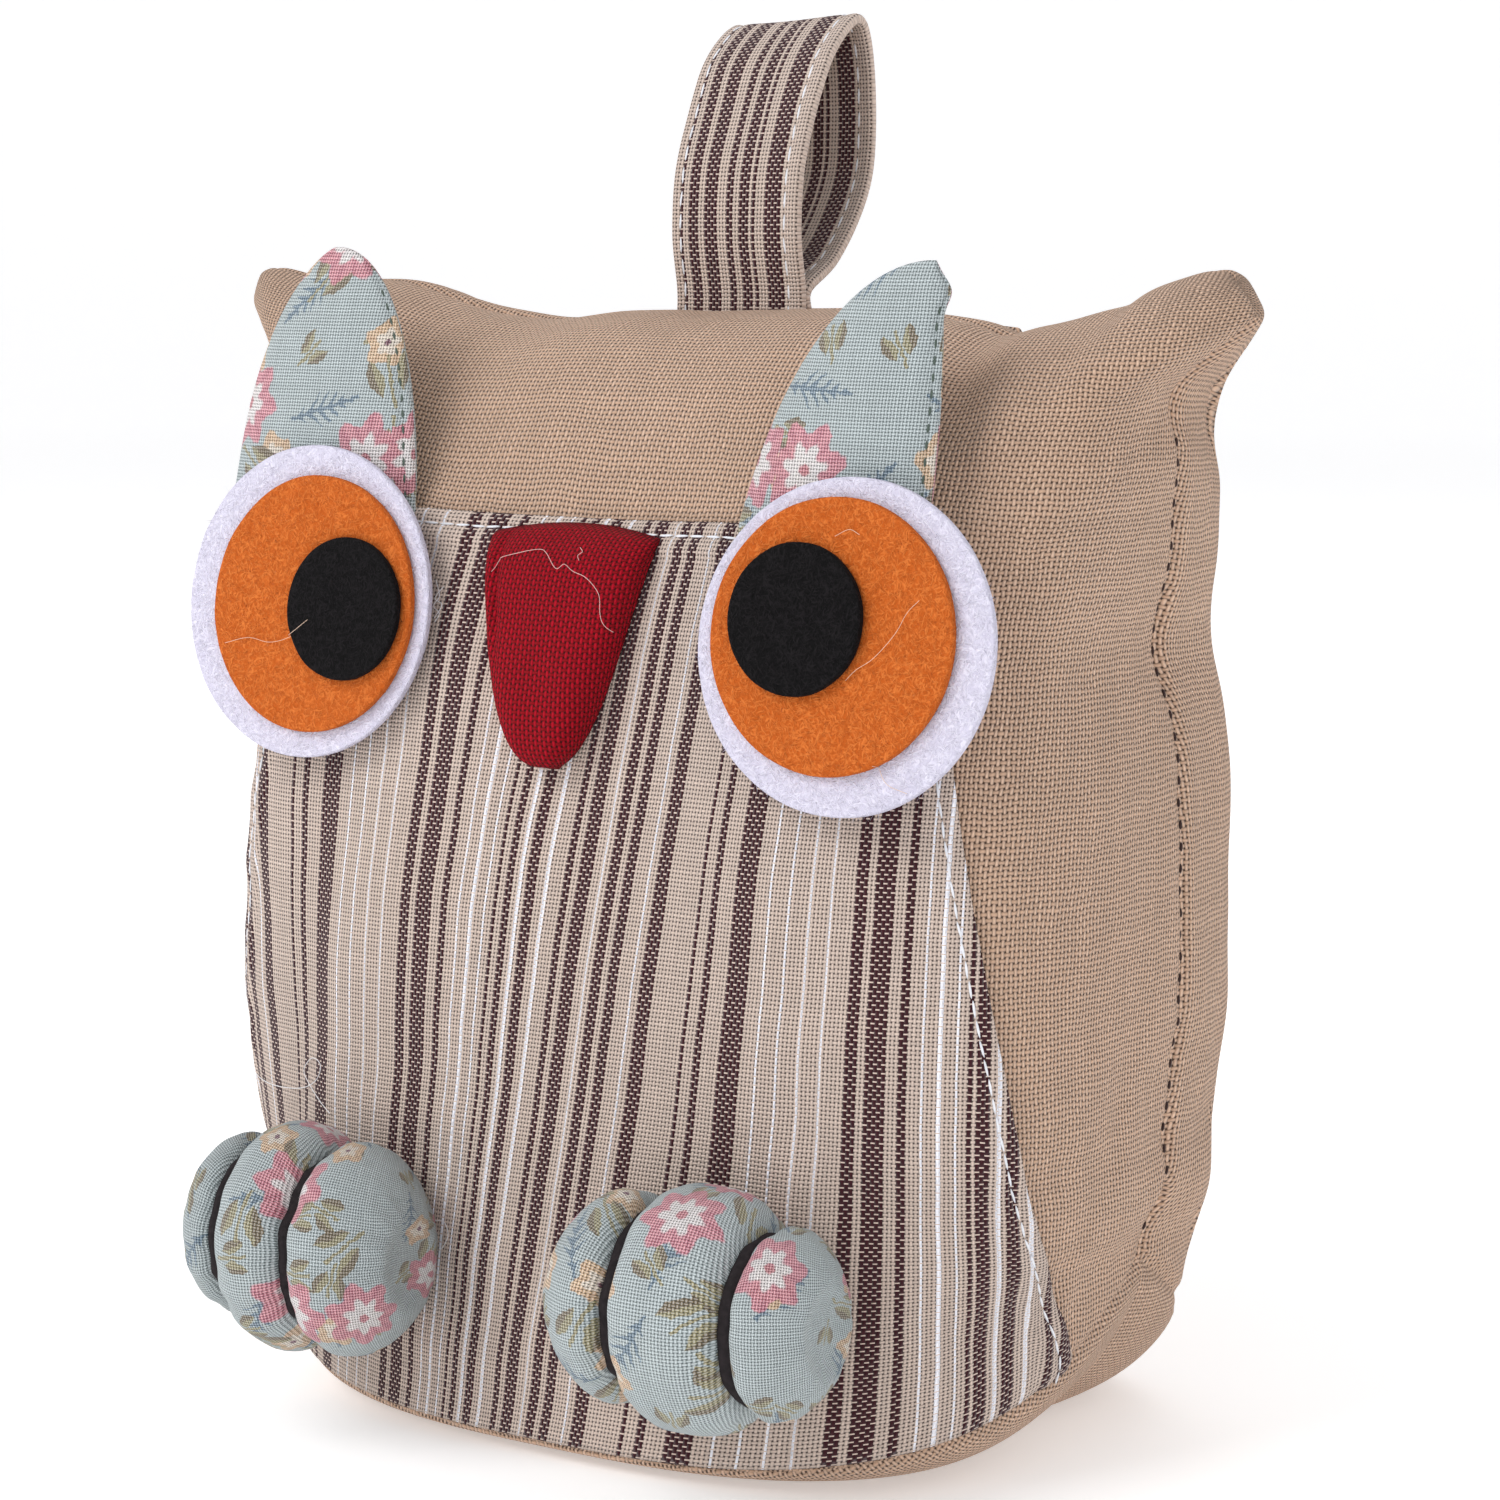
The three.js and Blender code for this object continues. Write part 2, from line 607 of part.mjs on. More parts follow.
function beak() {
  const faceAt = (padding, edge) => (u, v) => {
    const x = BEAK_OFF_CENTRE + u * BEAK_HALF_WIDTH * v ** BEAK_TAPER_POWER;
    const z = BEAK_TOP_HEIGHT - BEAK_LENGTH * (1 - v) + BEAK_TOP_ARCH * v * v * (1 - u * u);
    return new THREE.Vector3(x, seatedBack(x, 0, z) - edge - padding * beakFullness(u, v), z);
  };
  const front = rowsOf(BEAK_CELLS, BEAK_CELLS, faceAt(BEAK_PADDING, BEAK_EDGE), BEAK_BLUNTING);
  const back = rowsOf(BEAK_CELLS, BEAK_CELLS, faceAt(0, 0), BEAK_BLUNTING);
  return slab(front, back);
}

addPiece('beak', beak(), material(COLOURS.red));

// Feet and their bands

const FOOT_ROUND = 20;
const FOOT_ALONG = 28;
const BAND_CELLS = 16;

function footRadius(shape, u) {
  const x = u * shape.halfWidth;
  const grooves = Object.values(shape.bands).map((place) => Math.exp(-(((x - place) / GROOVE_REACH) ** 2)));
  const drawnIn = grooves.reduce((sum, groove) => sum + groove) * (GROOVE_DEPTH / FOOT_HALF_DEPTH);
  return Math.sqrt(Math.max(1 - Math.abs(u) ** FOOT_END_POWER, 0)) - drawnIn * (1 - u ** 8);
}

// The middle of a foot: it stands a little proud of the cloth behind it.
function footMiddle(side) {
  const x = (side * FOOT_SPACING) / 2;
  return new THREE.Vector3(x, forwardFace(x, FOOT_HEIGHT) - FOOT_PROUD, FOOT_HEIGHT);
}

// A point round a foot: u goes from end to end, angle from straight ahead over the top.
function footPoint(shape, middle, u, angle, radius) {
  const x = u * shape.halfWidth;
  const y = -FOOT_HALF_DEPTH * radius * Math.cos(angle);
  const z = FOOT_HALF_HEIGHT * radius * Math.sin(angle);
  return new THREE.Vector3(x, y, z).add(middle);
}

function foot(shape, middle) {
  const rows = [];
  for (let j = 0; j <= FOOT_ROUND; j++) {
    const angle = ((j % FOOT_ROUND) / FOOT_ROUND) * Math.PI * 2;
    rows.push(Array.from({ length: FOOT_ALONG + 1 }, (_, i) => {
      const u = (2 * i) / FOOT_ALONG - 1;
      const point = footPoint(shape, middle, u, angle, Math.abs(u) === 1 ? 0 : footRadius(shape, u));
      point.y = seatedBack(point.x, point.y, point.z);
      return point;
    }));
  }
  return withoutSlivers(closed([sheet(rows)]));
}

// An elastic band in a groove, from the body over the front of the foot and back to the body.
function band(shape, middle, place) {
  const halfWidth = BAND_WIDTH / 2;
  const shareAt = (offset) => (place + offset) / shape.halfWidth;
  const shares = [-halfWidth, 0, halfWidth].map(shareAt);
  const floor = Math.max(...shares.map((u) => footRadius(shape, u)));
  const seat = floor + (GAP + 2 * FACET_ALLOWANCE) / FOOT_HALF_DEPTH;
  const lift = BAND_THICKNESS / FOOT_HALF_DEPTH;
  const clearAt = (angle) => shares.every((u) => [seat, seat + lift].every((radius) => {
    const point = footPoint(shape, middle, u, angle, radius);
    return point.y < forwardFace(point.x, point.z) - GAP - FACET_ALLOWANCE;
  }));
  const step = 0.03;
  const limit = (direction) => {
    let angle = 0;
    while (Math.abs(angle) < Math.PI && clearAt(angle + direction * step)) angle += direction * step;
    return angle;
  };
  const [from, to] = [limit(-1), limit(1)];
  const faceAt = (radius) => rowsOf(BAND_CELLS, 2, (u, v) => (
    footPoint(shape, middle, shareAt(u * halfWidth), lerp(from, to, v), radius)
  ));
  return slab(faceAt(seat + lift), faceAt(seat));
}

for (const [name, side] of SIDES) {
  const shape = FEET[name];
  const middle = footMiddle(side);
  addPiece(`foot_${name}`, painted(foot(shape, middle), printColour), printedMaterial());
  for (const [place, across] of Object.entries(shape.bands)) {
    addPiece(`toe_band_${name}_${place}`, band(shape, middle, across), material(COLOURS.felt_black, 0.9));
  }
}

export default group;
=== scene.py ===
import math

import bpy
import numpy as np
from mathutils import Matrix, Vector, noise
from mathutils.bvhtree import BVHTree


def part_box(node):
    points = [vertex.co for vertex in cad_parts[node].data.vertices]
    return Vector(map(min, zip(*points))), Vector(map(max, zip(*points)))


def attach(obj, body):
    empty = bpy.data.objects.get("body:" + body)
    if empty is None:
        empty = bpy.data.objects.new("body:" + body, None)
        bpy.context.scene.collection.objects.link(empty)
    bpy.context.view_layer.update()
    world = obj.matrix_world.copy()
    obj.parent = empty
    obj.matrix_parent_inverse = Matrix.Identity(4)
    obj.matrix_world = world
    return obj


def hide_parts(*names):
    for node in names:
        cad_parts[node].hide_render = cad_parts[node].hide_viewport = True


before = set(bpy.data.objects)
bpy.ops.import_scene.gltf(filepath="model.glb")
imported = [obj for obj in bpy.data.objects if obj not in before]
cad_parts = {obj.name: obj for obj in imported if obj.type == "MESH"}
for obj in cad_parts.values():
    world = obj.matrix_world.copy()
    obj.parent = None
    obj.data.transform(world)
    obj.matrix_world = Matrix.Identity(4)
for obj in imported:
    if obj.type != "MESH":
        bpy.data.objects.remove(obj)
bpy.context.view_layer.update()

# The body is a bag of coarse tan cotton: a front and a back panel sewn round one seam, and a base panel.
# A sand bag settles in the base and fibre fills the rest, so the panels swell between their seams.
# The panels follow one rule: level sections that round off to the seam, along a belly-to-crown profile.
BODY_HALF_WIDTH = 0.0825
BODY_DEPTHS = {-1: 0.0535, 1: 0.043}
BASE_HALF_WIDTH = 0.0765
BASE_DEPTHS = {-1: 0.057, 1: 0.047}
BASE_SEAM_POWERS = {-1: 3, 1: 2}
BASE_SEAM_HEIGHT_FRONT = 0.0025
BASE_SEAM_HEIGHT_SIDE = 0.031
BASE_TAPER_HEIGHT = 0.078
BASE_TILT_HEIGHT = 0.056
BELLY_HEIGHT = 0.064
BELLY_SHARE = 0.3
TOP_SEAM_HEIGHT = 0.1855
SECTION_POWER = 4.2
FOOT_SECTION_POWER = 2.9
PROFILE_POWER = 2.45
SIDE_SEAM_SET_BACK = 0.007
SIDE_NOTCH = {"depth": 0.0028, "height": 0.132, "reach": 0.015}
TOP_DIP = {"depth": 0.0025, "place": 0.66, "reach": 0.2}
EAR = {"reach": 0.0186, "rise": 0.0095, "round": 0.013, "forward": 0.007}
# Where the stuffing pushes the side and top seams out of their even run: place, reach and amount.
SIDE_WAVES = {
    -1: ((0.164, 0.013, 0.0034),),
    1: ((0.178, 0.005, 0.0020), (0.161, 0.007, 0.0030), (0.132, 0.007, -0.0022), (0.056, 0.012, -0.0016),
        (0.032, 0.012, 0.0008)),
}
TOP_WAVES = ((-0.068, 0.015, 0.0054), (-0.034, 0.011, -0.002), (0.086, 0.014, 0.002))
UNDERSIDE_ROUND = {"front": 0.020, "left": 0.055, "right": 0.026}
BODY_ROWS = 84
BODY_COLUMNS = 112
# The share of the simulated creases that shows, the most that the cloth may swell, and the seams' calm edge.
CREASES = {"share": 0.3, "most": 0.006, "from": 0.002, "to": 0.016, "evened": 60}
# Folds that the stitching pulls into the front: from and to (across and up), depth and reach.
FOLDS = (
    ((0.0530, 0.187), (0.0640, 0.158), 0.0020, 0.0046),
    ((0.0950, 0.176), (0.0740, 0.168), 0.0016, 0.0032),
    ((0.0900, 0.172), (0.0700, 0.158), 0.0011, 0.0030),
    ((0.0780, 0.187), (0.0700, 0.170), 0.0009, 0.0034),
    ((-0.0950, 0.179), (-0.0780, 0.170), 0.0012, 0.0030),
    ((0.0780, 0.034), (0.0680, 0.027), 0.0008, 0.0028),
    ((0.0790, 0.052), (0.0700, 0.047), 0.0004, 0.0028),
    ((-0.0800, 0.036), (-0.0660, 0.022), 0.0007, 0.0030),
)
# The side seams' stitches are seen between two heights.
SEAM_STITCH = {"low": 0.036, "high": 0.168, "lift": 0.00015}
SEAM_GROOVE = {"depth": 0.0013, "reach": 0.0017, "pucker": 0.006}
# The stuffing's own waves: height, length and seed.
BODY_WAVES = ((0.0009, 0.030, 2), (0.0003, 0.011, 3))


def smooth(value, low, high):
    share = np.clip((value - low) / (high - low), 0, 1)
    return share * share * (3 - 2 * share)


def blend(low, high, share):
    return low + (high - low) * share


def hump(away, reach):
    """1 in the middle, falling off smoothly over a reach."""
    return np.exp(-((away / reach) ** 2))


def lengths_along(line):
    return np.r_[0, np.cumsum(np.linalg.norm(np.diff(line, axis=0), axis=1))]


def unit(vectors):
    return vectors / np.maximum(np.linalg.norm(vectors, axis=-1, keepdims=True), 1e-12)


def points_along(line, shares):
    """Points at shares of a line's length."""
    steps = lengths_along(line)
    return np.stack([np.interp(shares * steps[-1], steps, column) for column in line.T], axis=-1)


def middle_line(share):
    """A panel's middle line: how full the section is, how far it is drawn to the base, and its height."""
    below = np.clip(1 - share / BELLY_SHARE, 0, 1)
    angle = np.clip((share - BELLY_SHARE) / (1 - BELLY_SHARE), 0, 1) * np.pi / 2
    fullness = np.clip(np.cos(angle), 0, 1) ** (2 / PROFILE_POWER)
    rise = np.sin(angle) ** (2 / PROFILE_POWER)
    lower = blend(BELLY_HEIGHT, BASE_SEAM_HEIGHT_FRONT, below)
    return fullness, below**2, np.where(below > 0, lower, blend(BELLY_HEIGHT, TOP_SEAM_HEIGHT, rise))


def profile():
    """Shares of the front's middle line, and how much cloth lies below each."""
    shares = np.linspace(0, 1, 1200)
    fullness, low, height = middle_line(shares)
    depth = BODY_DEPTHS[-1] * fullness + (BASE_DEPTHS[-1] - BODY_DEPTHS[-1]) * low
    return shares, lengths_along(np.stack([depth, height], axis=-1))


PROFILE_SHARES, PROFILE_STEPS = profile()
PANEL_CLOTH = PROFILE_STEPS[-1]


def panel_row(side, up, across):
    """One row of a panel, at a share up its middle line, and its half length of cloth."""
    share = np.interp(up * PANEL_CLOTH, PROFILE_STEPS, PROFILE_SHARES)
    fullness, low, height = (float(value) for value in middle_line(share))
    fullness = 0.0 if up == 1 else fullness
    foot = 1 - smooth(height, 0, BASE_TAPER_HEIGHT)
    notch = SIDE_NOTCH["depth"] * hump(height - SIDE_NOTCH["height"], SIDE_NOTCH["reach"])
    half_width = blend(BODY_HALF_WIDTH, BASE_HALF_WIDTH, foot**1.6) - notch
    depth = BODY_DEPTHS[side] * fullness + (BASE_DEPTHS[side] - BODY_DEPTHS[side]) * low
    power = 2 / blend(SECTION_POWER, FOOT_SECTION_POWER, foot)
    angle = np.linspace(0, np.pi / 2, 161)
    rounded = np.clip(np.cos(angle), 0, 1) ** power
    arc = np.stack([half_width * np.sin(angle) ** power, depth * rounded], axis=-1)
    out = np.abs(across)
    x, y = points_along(arc, out).T
    high = height / TOP_SEAM_HEIGHT
    x = x + EAR["reach"] * smooth(high, 0.87, 0.975) * out**5
    for sign, waves in SIDE_WAVES.items():
        for place, reach, amount in waves:
            x = x + (np.sign(across) == sign) * amount * out**4 * hump(height - place, reach)
    dip = TOP_DIP["depth"] * hump(out - TOP_DIP["place"], TOP_DIP["reach"])
    z = height + smooth(high, 0.7, 1) * (EAR["rise"] * out**8 - dip)
    for place, reach, amount in TOP_WAVES:
        z = z + smooth(high, 0.85, 1) * amount * hump(np.sign(across) * x - place, reach)
    tilt = 1 - smooth(height, 0, BASE_TILT_HEIGHT)
    z = z + (BASE_SEAM_HEIGHT_SIDE - BASE_SEAM_HEIGHT_FRONT) * out ** BASE_SEAM_POWERS[side] * tilt
    x, z = round_ear(x, z)
    y = side * y + SIDE_SEAM_SET_BACK * out**3 * (1 - smooth(z / TOP_SEAM_HEIGHT, 0.6, 1))
    y = y - EAR["forward"] * out**4 * smooth(z / TOP_SEAM_HEIGHT, 0.8, 1)
    return np.stack([np.sign(across) * x, y, z], axis=-1), lengths_along(arc)[-1]


def round_ear(x, z):
    """The square tip of an ear is drawn in to a quarter disc."""
    corner = EAR["round"]
    left, low = BODY_HALF_WIDTH + EAR["reach"] - corner, TOP_SEAM_HEIGHT + EAR["rise"] - corner
    u = np.clip((x - left) / corner, 0, 1)
    v = np.clip((z - low) / corner, 0, 1)
    rounded = (u > 0) & (v > 0)
    return (
        np.where(rounded, left + corner * u * np.sqrt(1 - v * v / 2), x),
        np.where(rounded, low + corner * v * np.sqrt(1 - u * u / 2), z),
    )


def lengths_across(rows):
    """How far each point lies to the right of its row's middle point, along the cloth."""
    steps = np.linalg.norm(np.diff(rows[:, :, :2], axis=1), axis=2)
    total = np.concatenate([np.zeros((len(rows), 1)), steps.cumsum(axis=1)], axis=1)
    return total - total[:, rows.shape[1] // 2, None]


def panel_sheet(side):
    """A whole panel as rows of points, their places on the flat cloth, and their ways to the nearest seam."""
    # Rows and columns crowd towards the seams, where the cloth bends most.
    even = np.linspace(-1, 1, BODY_COLUMNS + 1)
    across = np.sign(even) * (1 - (1 - np.abs(even)) ** 1.5)
    up = np.sin(np.linspace(0, np.pi / 2, BODY_ROWS + 1)) ** 1.15
    rows, halves = map(np.array, zip(*(panel_row(side, share, across) for share in up)))
    high = up[:, None] * PANEL_CLOTH
    to_seam = np.minimum(halves[:, None] * (1 - np.abs(across)), np.minimum(high, PANEL_CLOTH - high))
    # The cloth was cut with its threads level, so they run straight on through the ears and the corners.
    level = high + rows[:, :, 2] - rows[:, BODY_COLUMNS // 2, 2:]
    return rows, np.stack([lengths_across(rows), level], axis=-1), to_seam


def base_sheet(seam):
    """The base panel, as a panel_sheet: from its seam the cloth rounds under to a flat on the floor."""
    sideways = (np.abs(seam[:, 0]) / np.abs(seam[:, 0]).max()) ** 7
    corner = np.where(seam[:, 0] > 0, UNDERSIDE_ROUND["right"], UNDERSIDE_ROUND["left"])
    reach = blend(UNDERSIDE_ROUND["front"], corner, sideways) / np.hypot(seam[:, 0], seam[:, 1])
    rings = []
    for angle in np.linspace(0, np.pi / 2, 11):
        shrink = 1 - reach * (1 - math.cos(angle)) ** (1 - 0.3 * sideways)
        height = seam[:, 2] * (1 - math.sin(angle))
        rings.append(np.stack([seam[:, 0] * shrink, seam[:, 1] * shrink, height], axis=-1))
    flat = rings[-1] * [1, 1, 0]
    rings[-1] = flat
    rings += [flat * share for share in (0.8, 0.6, 0.4, 0.2, 0)]
    rings = np.array(rings)
    steps = np.linalg.norm(np.diff(rings, axis=0), axis=2)
    inward = np.concatenate([np.zeros((1, len(seam))), steps.cumsum(axis=0)])
    return rings, (inward[-1] - inward)[:, :, None] * unit(seam[:, :2]), inward


def placed(name, data):
    """A new object at the origin."""
    piece = bpy.data.objects.new(name, data)
    bpy.context.collection.objects.link(piece)
    return piece


def sewn(name, sheets):
    """One mesh from sheets of (points, cloth, flipped), welded where they meet; the cloth is its UV map."""
    points = np.concatenate([rows.reshape(-1, 3) for rows, _, _ in sheets])
    _, first, place = np.unique(np.round(points, 6), axis=0, return_index=True, return_inverse=True)
    place = place.reshape(-1)
    faces, corners, start = [], [], 0
    for rows, cloth, flipped in sheets:
        height, width = rows.shape[:2]
        index = start + np.arange(height * width).reshape(height, width)
        flat = cloth.reshape(-1, 2)
        cells = np.stack([index[:-1, :-1], index[:-1, 1:], index[1:, 1:], index[1:, :-1]], axis=-1)
        cells = cells.reshape(-1, 4)
        for cell in cells[:, ::-1] if flipped else cells:
            ring = [corner for k, corner in enumerate(cell) if place[corner] != place[cell[k - 1]]]
            if len(ring) > 2:
                faces.append([int(place[corner]) for corner in ring])
                corners += [flat[corner - start] for corner in ring]
        start += height * width
    mesh = bpy.data.meshes.new(name)
    mesh.from_pydata(points[first].tolist(), [], faces)
    mesh.uv_layers.new(name="cloth").data.foreach_set("uv", np.array(corners).ravel())
    mesh.polygons.foreach_set("use_smooth", [True] * len(faces))
    return placed(name, mesh), place


def places_of(mesh):
    flat = np.empty(len(mesh.vertices) * 3)
    mesh.vertices.foreach_get("co", flat)
    return flat.reshape(-1, 3)


def normals_of(mesh):
    return np.array([vertex.normal[:] for vertex in mesh.vertices])


def move_to(piece, points):
    piece.data.vertices.foreach_set("co", points.ravel())
    piece.data.update()


def shown(piece):
    return piece.evaluated_get(bpy.context.evaluated_depsgraph_get())


def settle(piece):
    """Turns what a piece's modifiers make into its plain mesh."""
    piece.data = bpy.data.meshes.new_from_object(shown(piece))
    piece.modifiers.clear()


def divide(piece):
    modifier = piece.modifiers.new("rounding", "SUBSURF")
    modifier.levels = modifier.render_levels = 1
    settle(piece)


def swell(piece, held, most):
    """How far the stuffing presses each point of the cloth out, up to a limit. Held points are sewn down."""
    start = places_of(piece.data)
    piece.vertex_groups.new(name="held").add([int(k) for k in held], 1, "REPLACE")
    cloth = piece.modifiers.new("swelling", "CLOTH")
    cloth.settings.quality = 4
    cloth.settings.vertex_group_mass = "held"
    cloth.settings.use_pressure = True
    cloth.settings.uniform_pressure_force = 4
    cloth.settings.shrink_min = -0.05
    cloth.settings.effector_weights.gravity = 0
    for step in range(1, 21):
        bpy.context.scene.frame_set(step)
    move = places_of(shown(piece).data) - start
    piece.modifiers.clear()
    piece.vertex_groups.clear()
    bpy.context.scene.frame_set(1)
    length = np.linalg.norm(move, axis=1, keepdims=True)
    return move * np.minimum(1, most / np.maximum(length, 1e-9))


def evened(piece, values, rounds):
    """Values at a mesh's points, averaged with their neighbours' so many times."""
    edges = np.empty(len(piece.data.edges) * 2, dtype=np.int64)
    piece.data.edges.foreach_get("vertices", edges)
    ends = edges.reshape(-1, 2)
    here, there = np.r_[ends[:, 0], ends[:, 1]], np.r_[ends[:, 1], ends[:, 0]]
    count = np.maximum(np.bincount(here, minlength=len(values)), 1)
    for _ in range(rounds):
        columns = [np.bincount(here, column[there], len(values)) / count for column in values.T]
        values = np.stack(columns, axis=-1)
    return values


def ripple(points, size, seed):
    """Seeded noise from -1 to 1 at each point, with waves about so long."""
    shift = Vector((seed * 7.3, seed * 3.1, seed * 5.7))
    found = [noise.noise(Vector(point) / size + shift) for point in points.reshape(-1, 3)]
    return np.array(found).reshape(points.shape[:-1])


def add_node(tree, kind, settings, values):
    """A node, its settings made first, then its sockets: each a wire, a node, a socket or a plain value."""
    made = tree.nodes.new(kind)
    for name, value in settings.items():
        if name == "stops":
            while len(made.color_ramp.elements) < len(value):
                made.color_ramp.elements.new(1)
            for stop, (place, shade) in zip(made.color_ramp.elements, value):
                stop.position, stop.color = place, shade
        elif name == "steps":
            made.color_ramp.interpolation = value
        else:
            setattr(made, name, value)
    for key, value in values.items() if isinstance(values, dict) else enumerate(values):
        value = getattr(value, "socket", value)
        value = value.outputs[0] if isinstance(value, bpy.types.Node) else value
        if isinstance(value, bpy.types.NodeSocket):
            tree.links.new(value, made.inputs[key])
        else:
            made.inputs[key].default_value = value
    return made


class Wire:
    """A socket of a finish that can be reckoned with."""

    def __init__(self, finish, socket):
        self.finish = finish
        self.socket = socket

    def maths(self, operation, *values):
        return self.finish.node("ShaderNodeMath", {"operation": operation}, values)

    def __add__(self, other):
        return self.maths("ADD", self, other)

    def __sub__(self, other):
        return self.maths("SUBTRACT", self, other)

    def __rsub__(self, other):
        return self.maths("SUBTRACT", other, self)

    def __mul__(self, other):
        return self.maths("MULTIPLY", self, other)

    def __truediv__(self, other):
        return self.maths("DIVIDE", self, other)

    def __pow__(self, other):
        return self.maths("POWER", self, other)

    def __mod__(self, other):
        return self.maths("FLOORED_MODULO", self, other)

    def __gt__(self, other):
        return self.maths("GREATER_THAN", self, other)

    def __lt__(self, other):
        return self.maths("LESS_THAN", self, other)

    def __abs__(self):
        return self.maths("ABSOLUTE", self)

    def __floor__(self):
        return self.maths("FLOOR", self)

    __radd__ = __add__
    __rmul__ = __mul__


def colour(red, green, blue):
    """A colour as a screen shows it, 0 to 255, made linear."""
    return tuple((value / 255) ** 2.2 for value in (red, green, blue)) + (1.0,)


class Finish:
    """A material: a cloth shader and the nodes that feed it."""

    def __init__(self, name, roughness=0.92, sheen=0.2):
        self.material = bpy.data.materials.new(name)
        self.material.use_nodes = True
        self.tree = self.material.node_tree
        self.shader = self.tree.nodes["Principled BSDF"]
        self.hold({
            "Roughness": roughness, "Sheen Weight": sheen, "Sheen Roughness": 0.5, "Specular IOR Level": 0.2,
        })

    def hold(self, values):
        """Sets what is the same all over the surface."""
        for socket, value in values.items():
            self.shader.inputs[socket].default_value = value

    def node(self, kind, settings, values, output=0):
        return Wire(self, add_node(self.tree, kind, settings, values).outputs[output])

    def mix(self, share, low, high, way="MIX"):
        settings = {"data_type": "RGBA", "blend_type": way}
        return self.node("ShaderNodeMix", settings, {0: share, 6: low, 7: high}, 2)

    def cloth(self):
        return self.node("ShaderNodeUVMap", {"uv_map": "cloth"}, [])

    def place(self):
        return self.node("ShaderNodeTexCoord", {}, [], "Object")

    def part(self, vector, axis):
        return self.node("ShaderNodeSeparateXYZ", {}, [vector], axis)

    def join(self, x, y, z=0.0):
        return self.node("ShaderNodeCombineXYZ", {}, [x, y, z])

    def grain(self, vector, scale, detail=2.0, output=0):
        values = {"Vector": vector, "Scale": scale, "Detail": detail}
        return self.node("ShaderNodeTexNoise", {}, values, output)

    def rise(self, value, low, high):
        """0 below low and 1 above high, with a soft step between them."""
        settings = {"interpolation_type": "SMOOTHSTEP"}
        return self.node("ShaderNodeMapRange", settings, {0: value, 1: low, 2: high})

    def vector(self, operation, values):
        return self.node("ShaderNodeVectorMath", {"operation": operation}, values)

    def tint(self, shade, tone):
        return self.mix(1.0, shade, self.join(tone, tone, tone), "MULTIPLY")

    def chance(self, value):
        return self.node("ShaderNodeTexWhiteNoise", {"noise_dimensions": "1D"}, {"W": value})

    def wear(self, shade, height, relief):
        """Dresses the shader in a colour and a height, with the relief in metres."""
        bump = self.node("ShaderNodeBump", {}, {"Strength": 1.0, "Distance": relief, "Height": height})
        for wire, socket in ((shade, "Base Color"), (bump, "Normal")):
            self.tree.links.new(wire.socket, self.shader.inputs[socket])
        return self.material

    def wear_weave(self, shade, woven, share, dark, relief):
        """Dresses the shader in a woven cloth with painted shade in its holes and hollows, uneven from thread
        to thread.
        """
        height, tone, hole_shade = woven
        # dark is the colour of the painted shade in the holes.
        return self.wear(self.tint(self.mix(hole_shade * share, shade, dark), tone), height, relief)


def threads(finish, pitches, sway=0.5):
    """Where a point lies on the cloth, counted in threads across and up; the threads sway a little."""
    cloth = finish.cloth()
    stray = finish.grain(cloth, 130.0, 4.0, "Color")
    return [finish.part(cloth, axis) / pitch + (finish.part(stray, axis) - 0.5) * sway
            for axis, pitch in zip("XY", pitches)]


def weave(finish, across, up, cover=0.0):
    """A plain weave: where the upright thread is on top, the cloth's height, its uneven tone with painted
    shade where the threads lie low, and the mask of painted shade in its holes.
    """
    waves = [count.maths("SINE", count * math.pi) for count in (across, up)]
    lean = waves[0] * waves[1] * 0.55
    warp, weft = abs(waves[0]) + lean + cover, abs(waves[1]) - lean
    over = warp > weft
    height = warp.maths("MAXIMUM", warp, weft)
    tones = []
    for count, other in ((across, up), (up, across)):
        own = math.floor(count)
        slub = finish.grain(finish.join(own, other * 0.07), 0.8)
        tones.append(finish.chance(own) * 0.12 + slub * 0.3)
    tone = finish.node("ShaderNodeMix", {}, {0: over, 2: tones[1], 3: tones[0]}) + 0.8
    # Painted shade in the holes between the threads, where the cloth lies lowest.
    hole_shade = 1 - finish.rise(height, 0.35, 0.8)
    # Each thread's own uneven tone, darkened where the threads lie low: painted shade in the hollows of the
    # weave.
    return over, (height, tone * (finish.rise(height, 0.45, 1.2) * 0.45 + 0.62), hole_shade)


TAN_THREADS = (0.0008, 0.0009)
# The tan's two threads and its patches, and the colour of the painted shade in the holes between the threads.
TAN = {
    "weft": colour(209, 173, 147), "warp": colour(225, 191, 166), "patch": colour(193, 156, 129),
    "hole_shade": colour(94, 64, 47),
}


def tan_cotton():
    finish = Finish("tan_cotton", 0.95)
    over, woven = weave(finish, *threads(finish, TAN_THREADS, 1.5))
    patch = finish.grain(finish.place(), 22.0, 3.0)
    shade = finish.mix(patch * 0.3, finish.mix(over, TAN["weft"], TAN["warp"]), TAN["patch"])
    # The holes between the threads are dark with painted shade.
    return finish.wear_weave(shade, woven, 0.95, TAN["hole_shade"], 0.0004)


def new_tree(name, inputs):
    """A tree of geometry nodes with named inputs; gives the tree and its input sockets."""
    tree = bpy.data.node_groups.new(name, "GeometryNodeTree")
    tree.interface.new_socket("Geometry", in_out="OUTPUT", socket_type="NodeSocketGeometry")
    tree.interface.new_socket("Geometry", in_out="INPUT", socket_type="NodeSocketGeometry")
    for label, kind in inputs.items():
        tree.interface.new_socket(label, in_out="INPUT", socket_type="NodeSocket" + kind)
    return tree, add_node(tree, "NodeGroupInput", {}, []).outputs


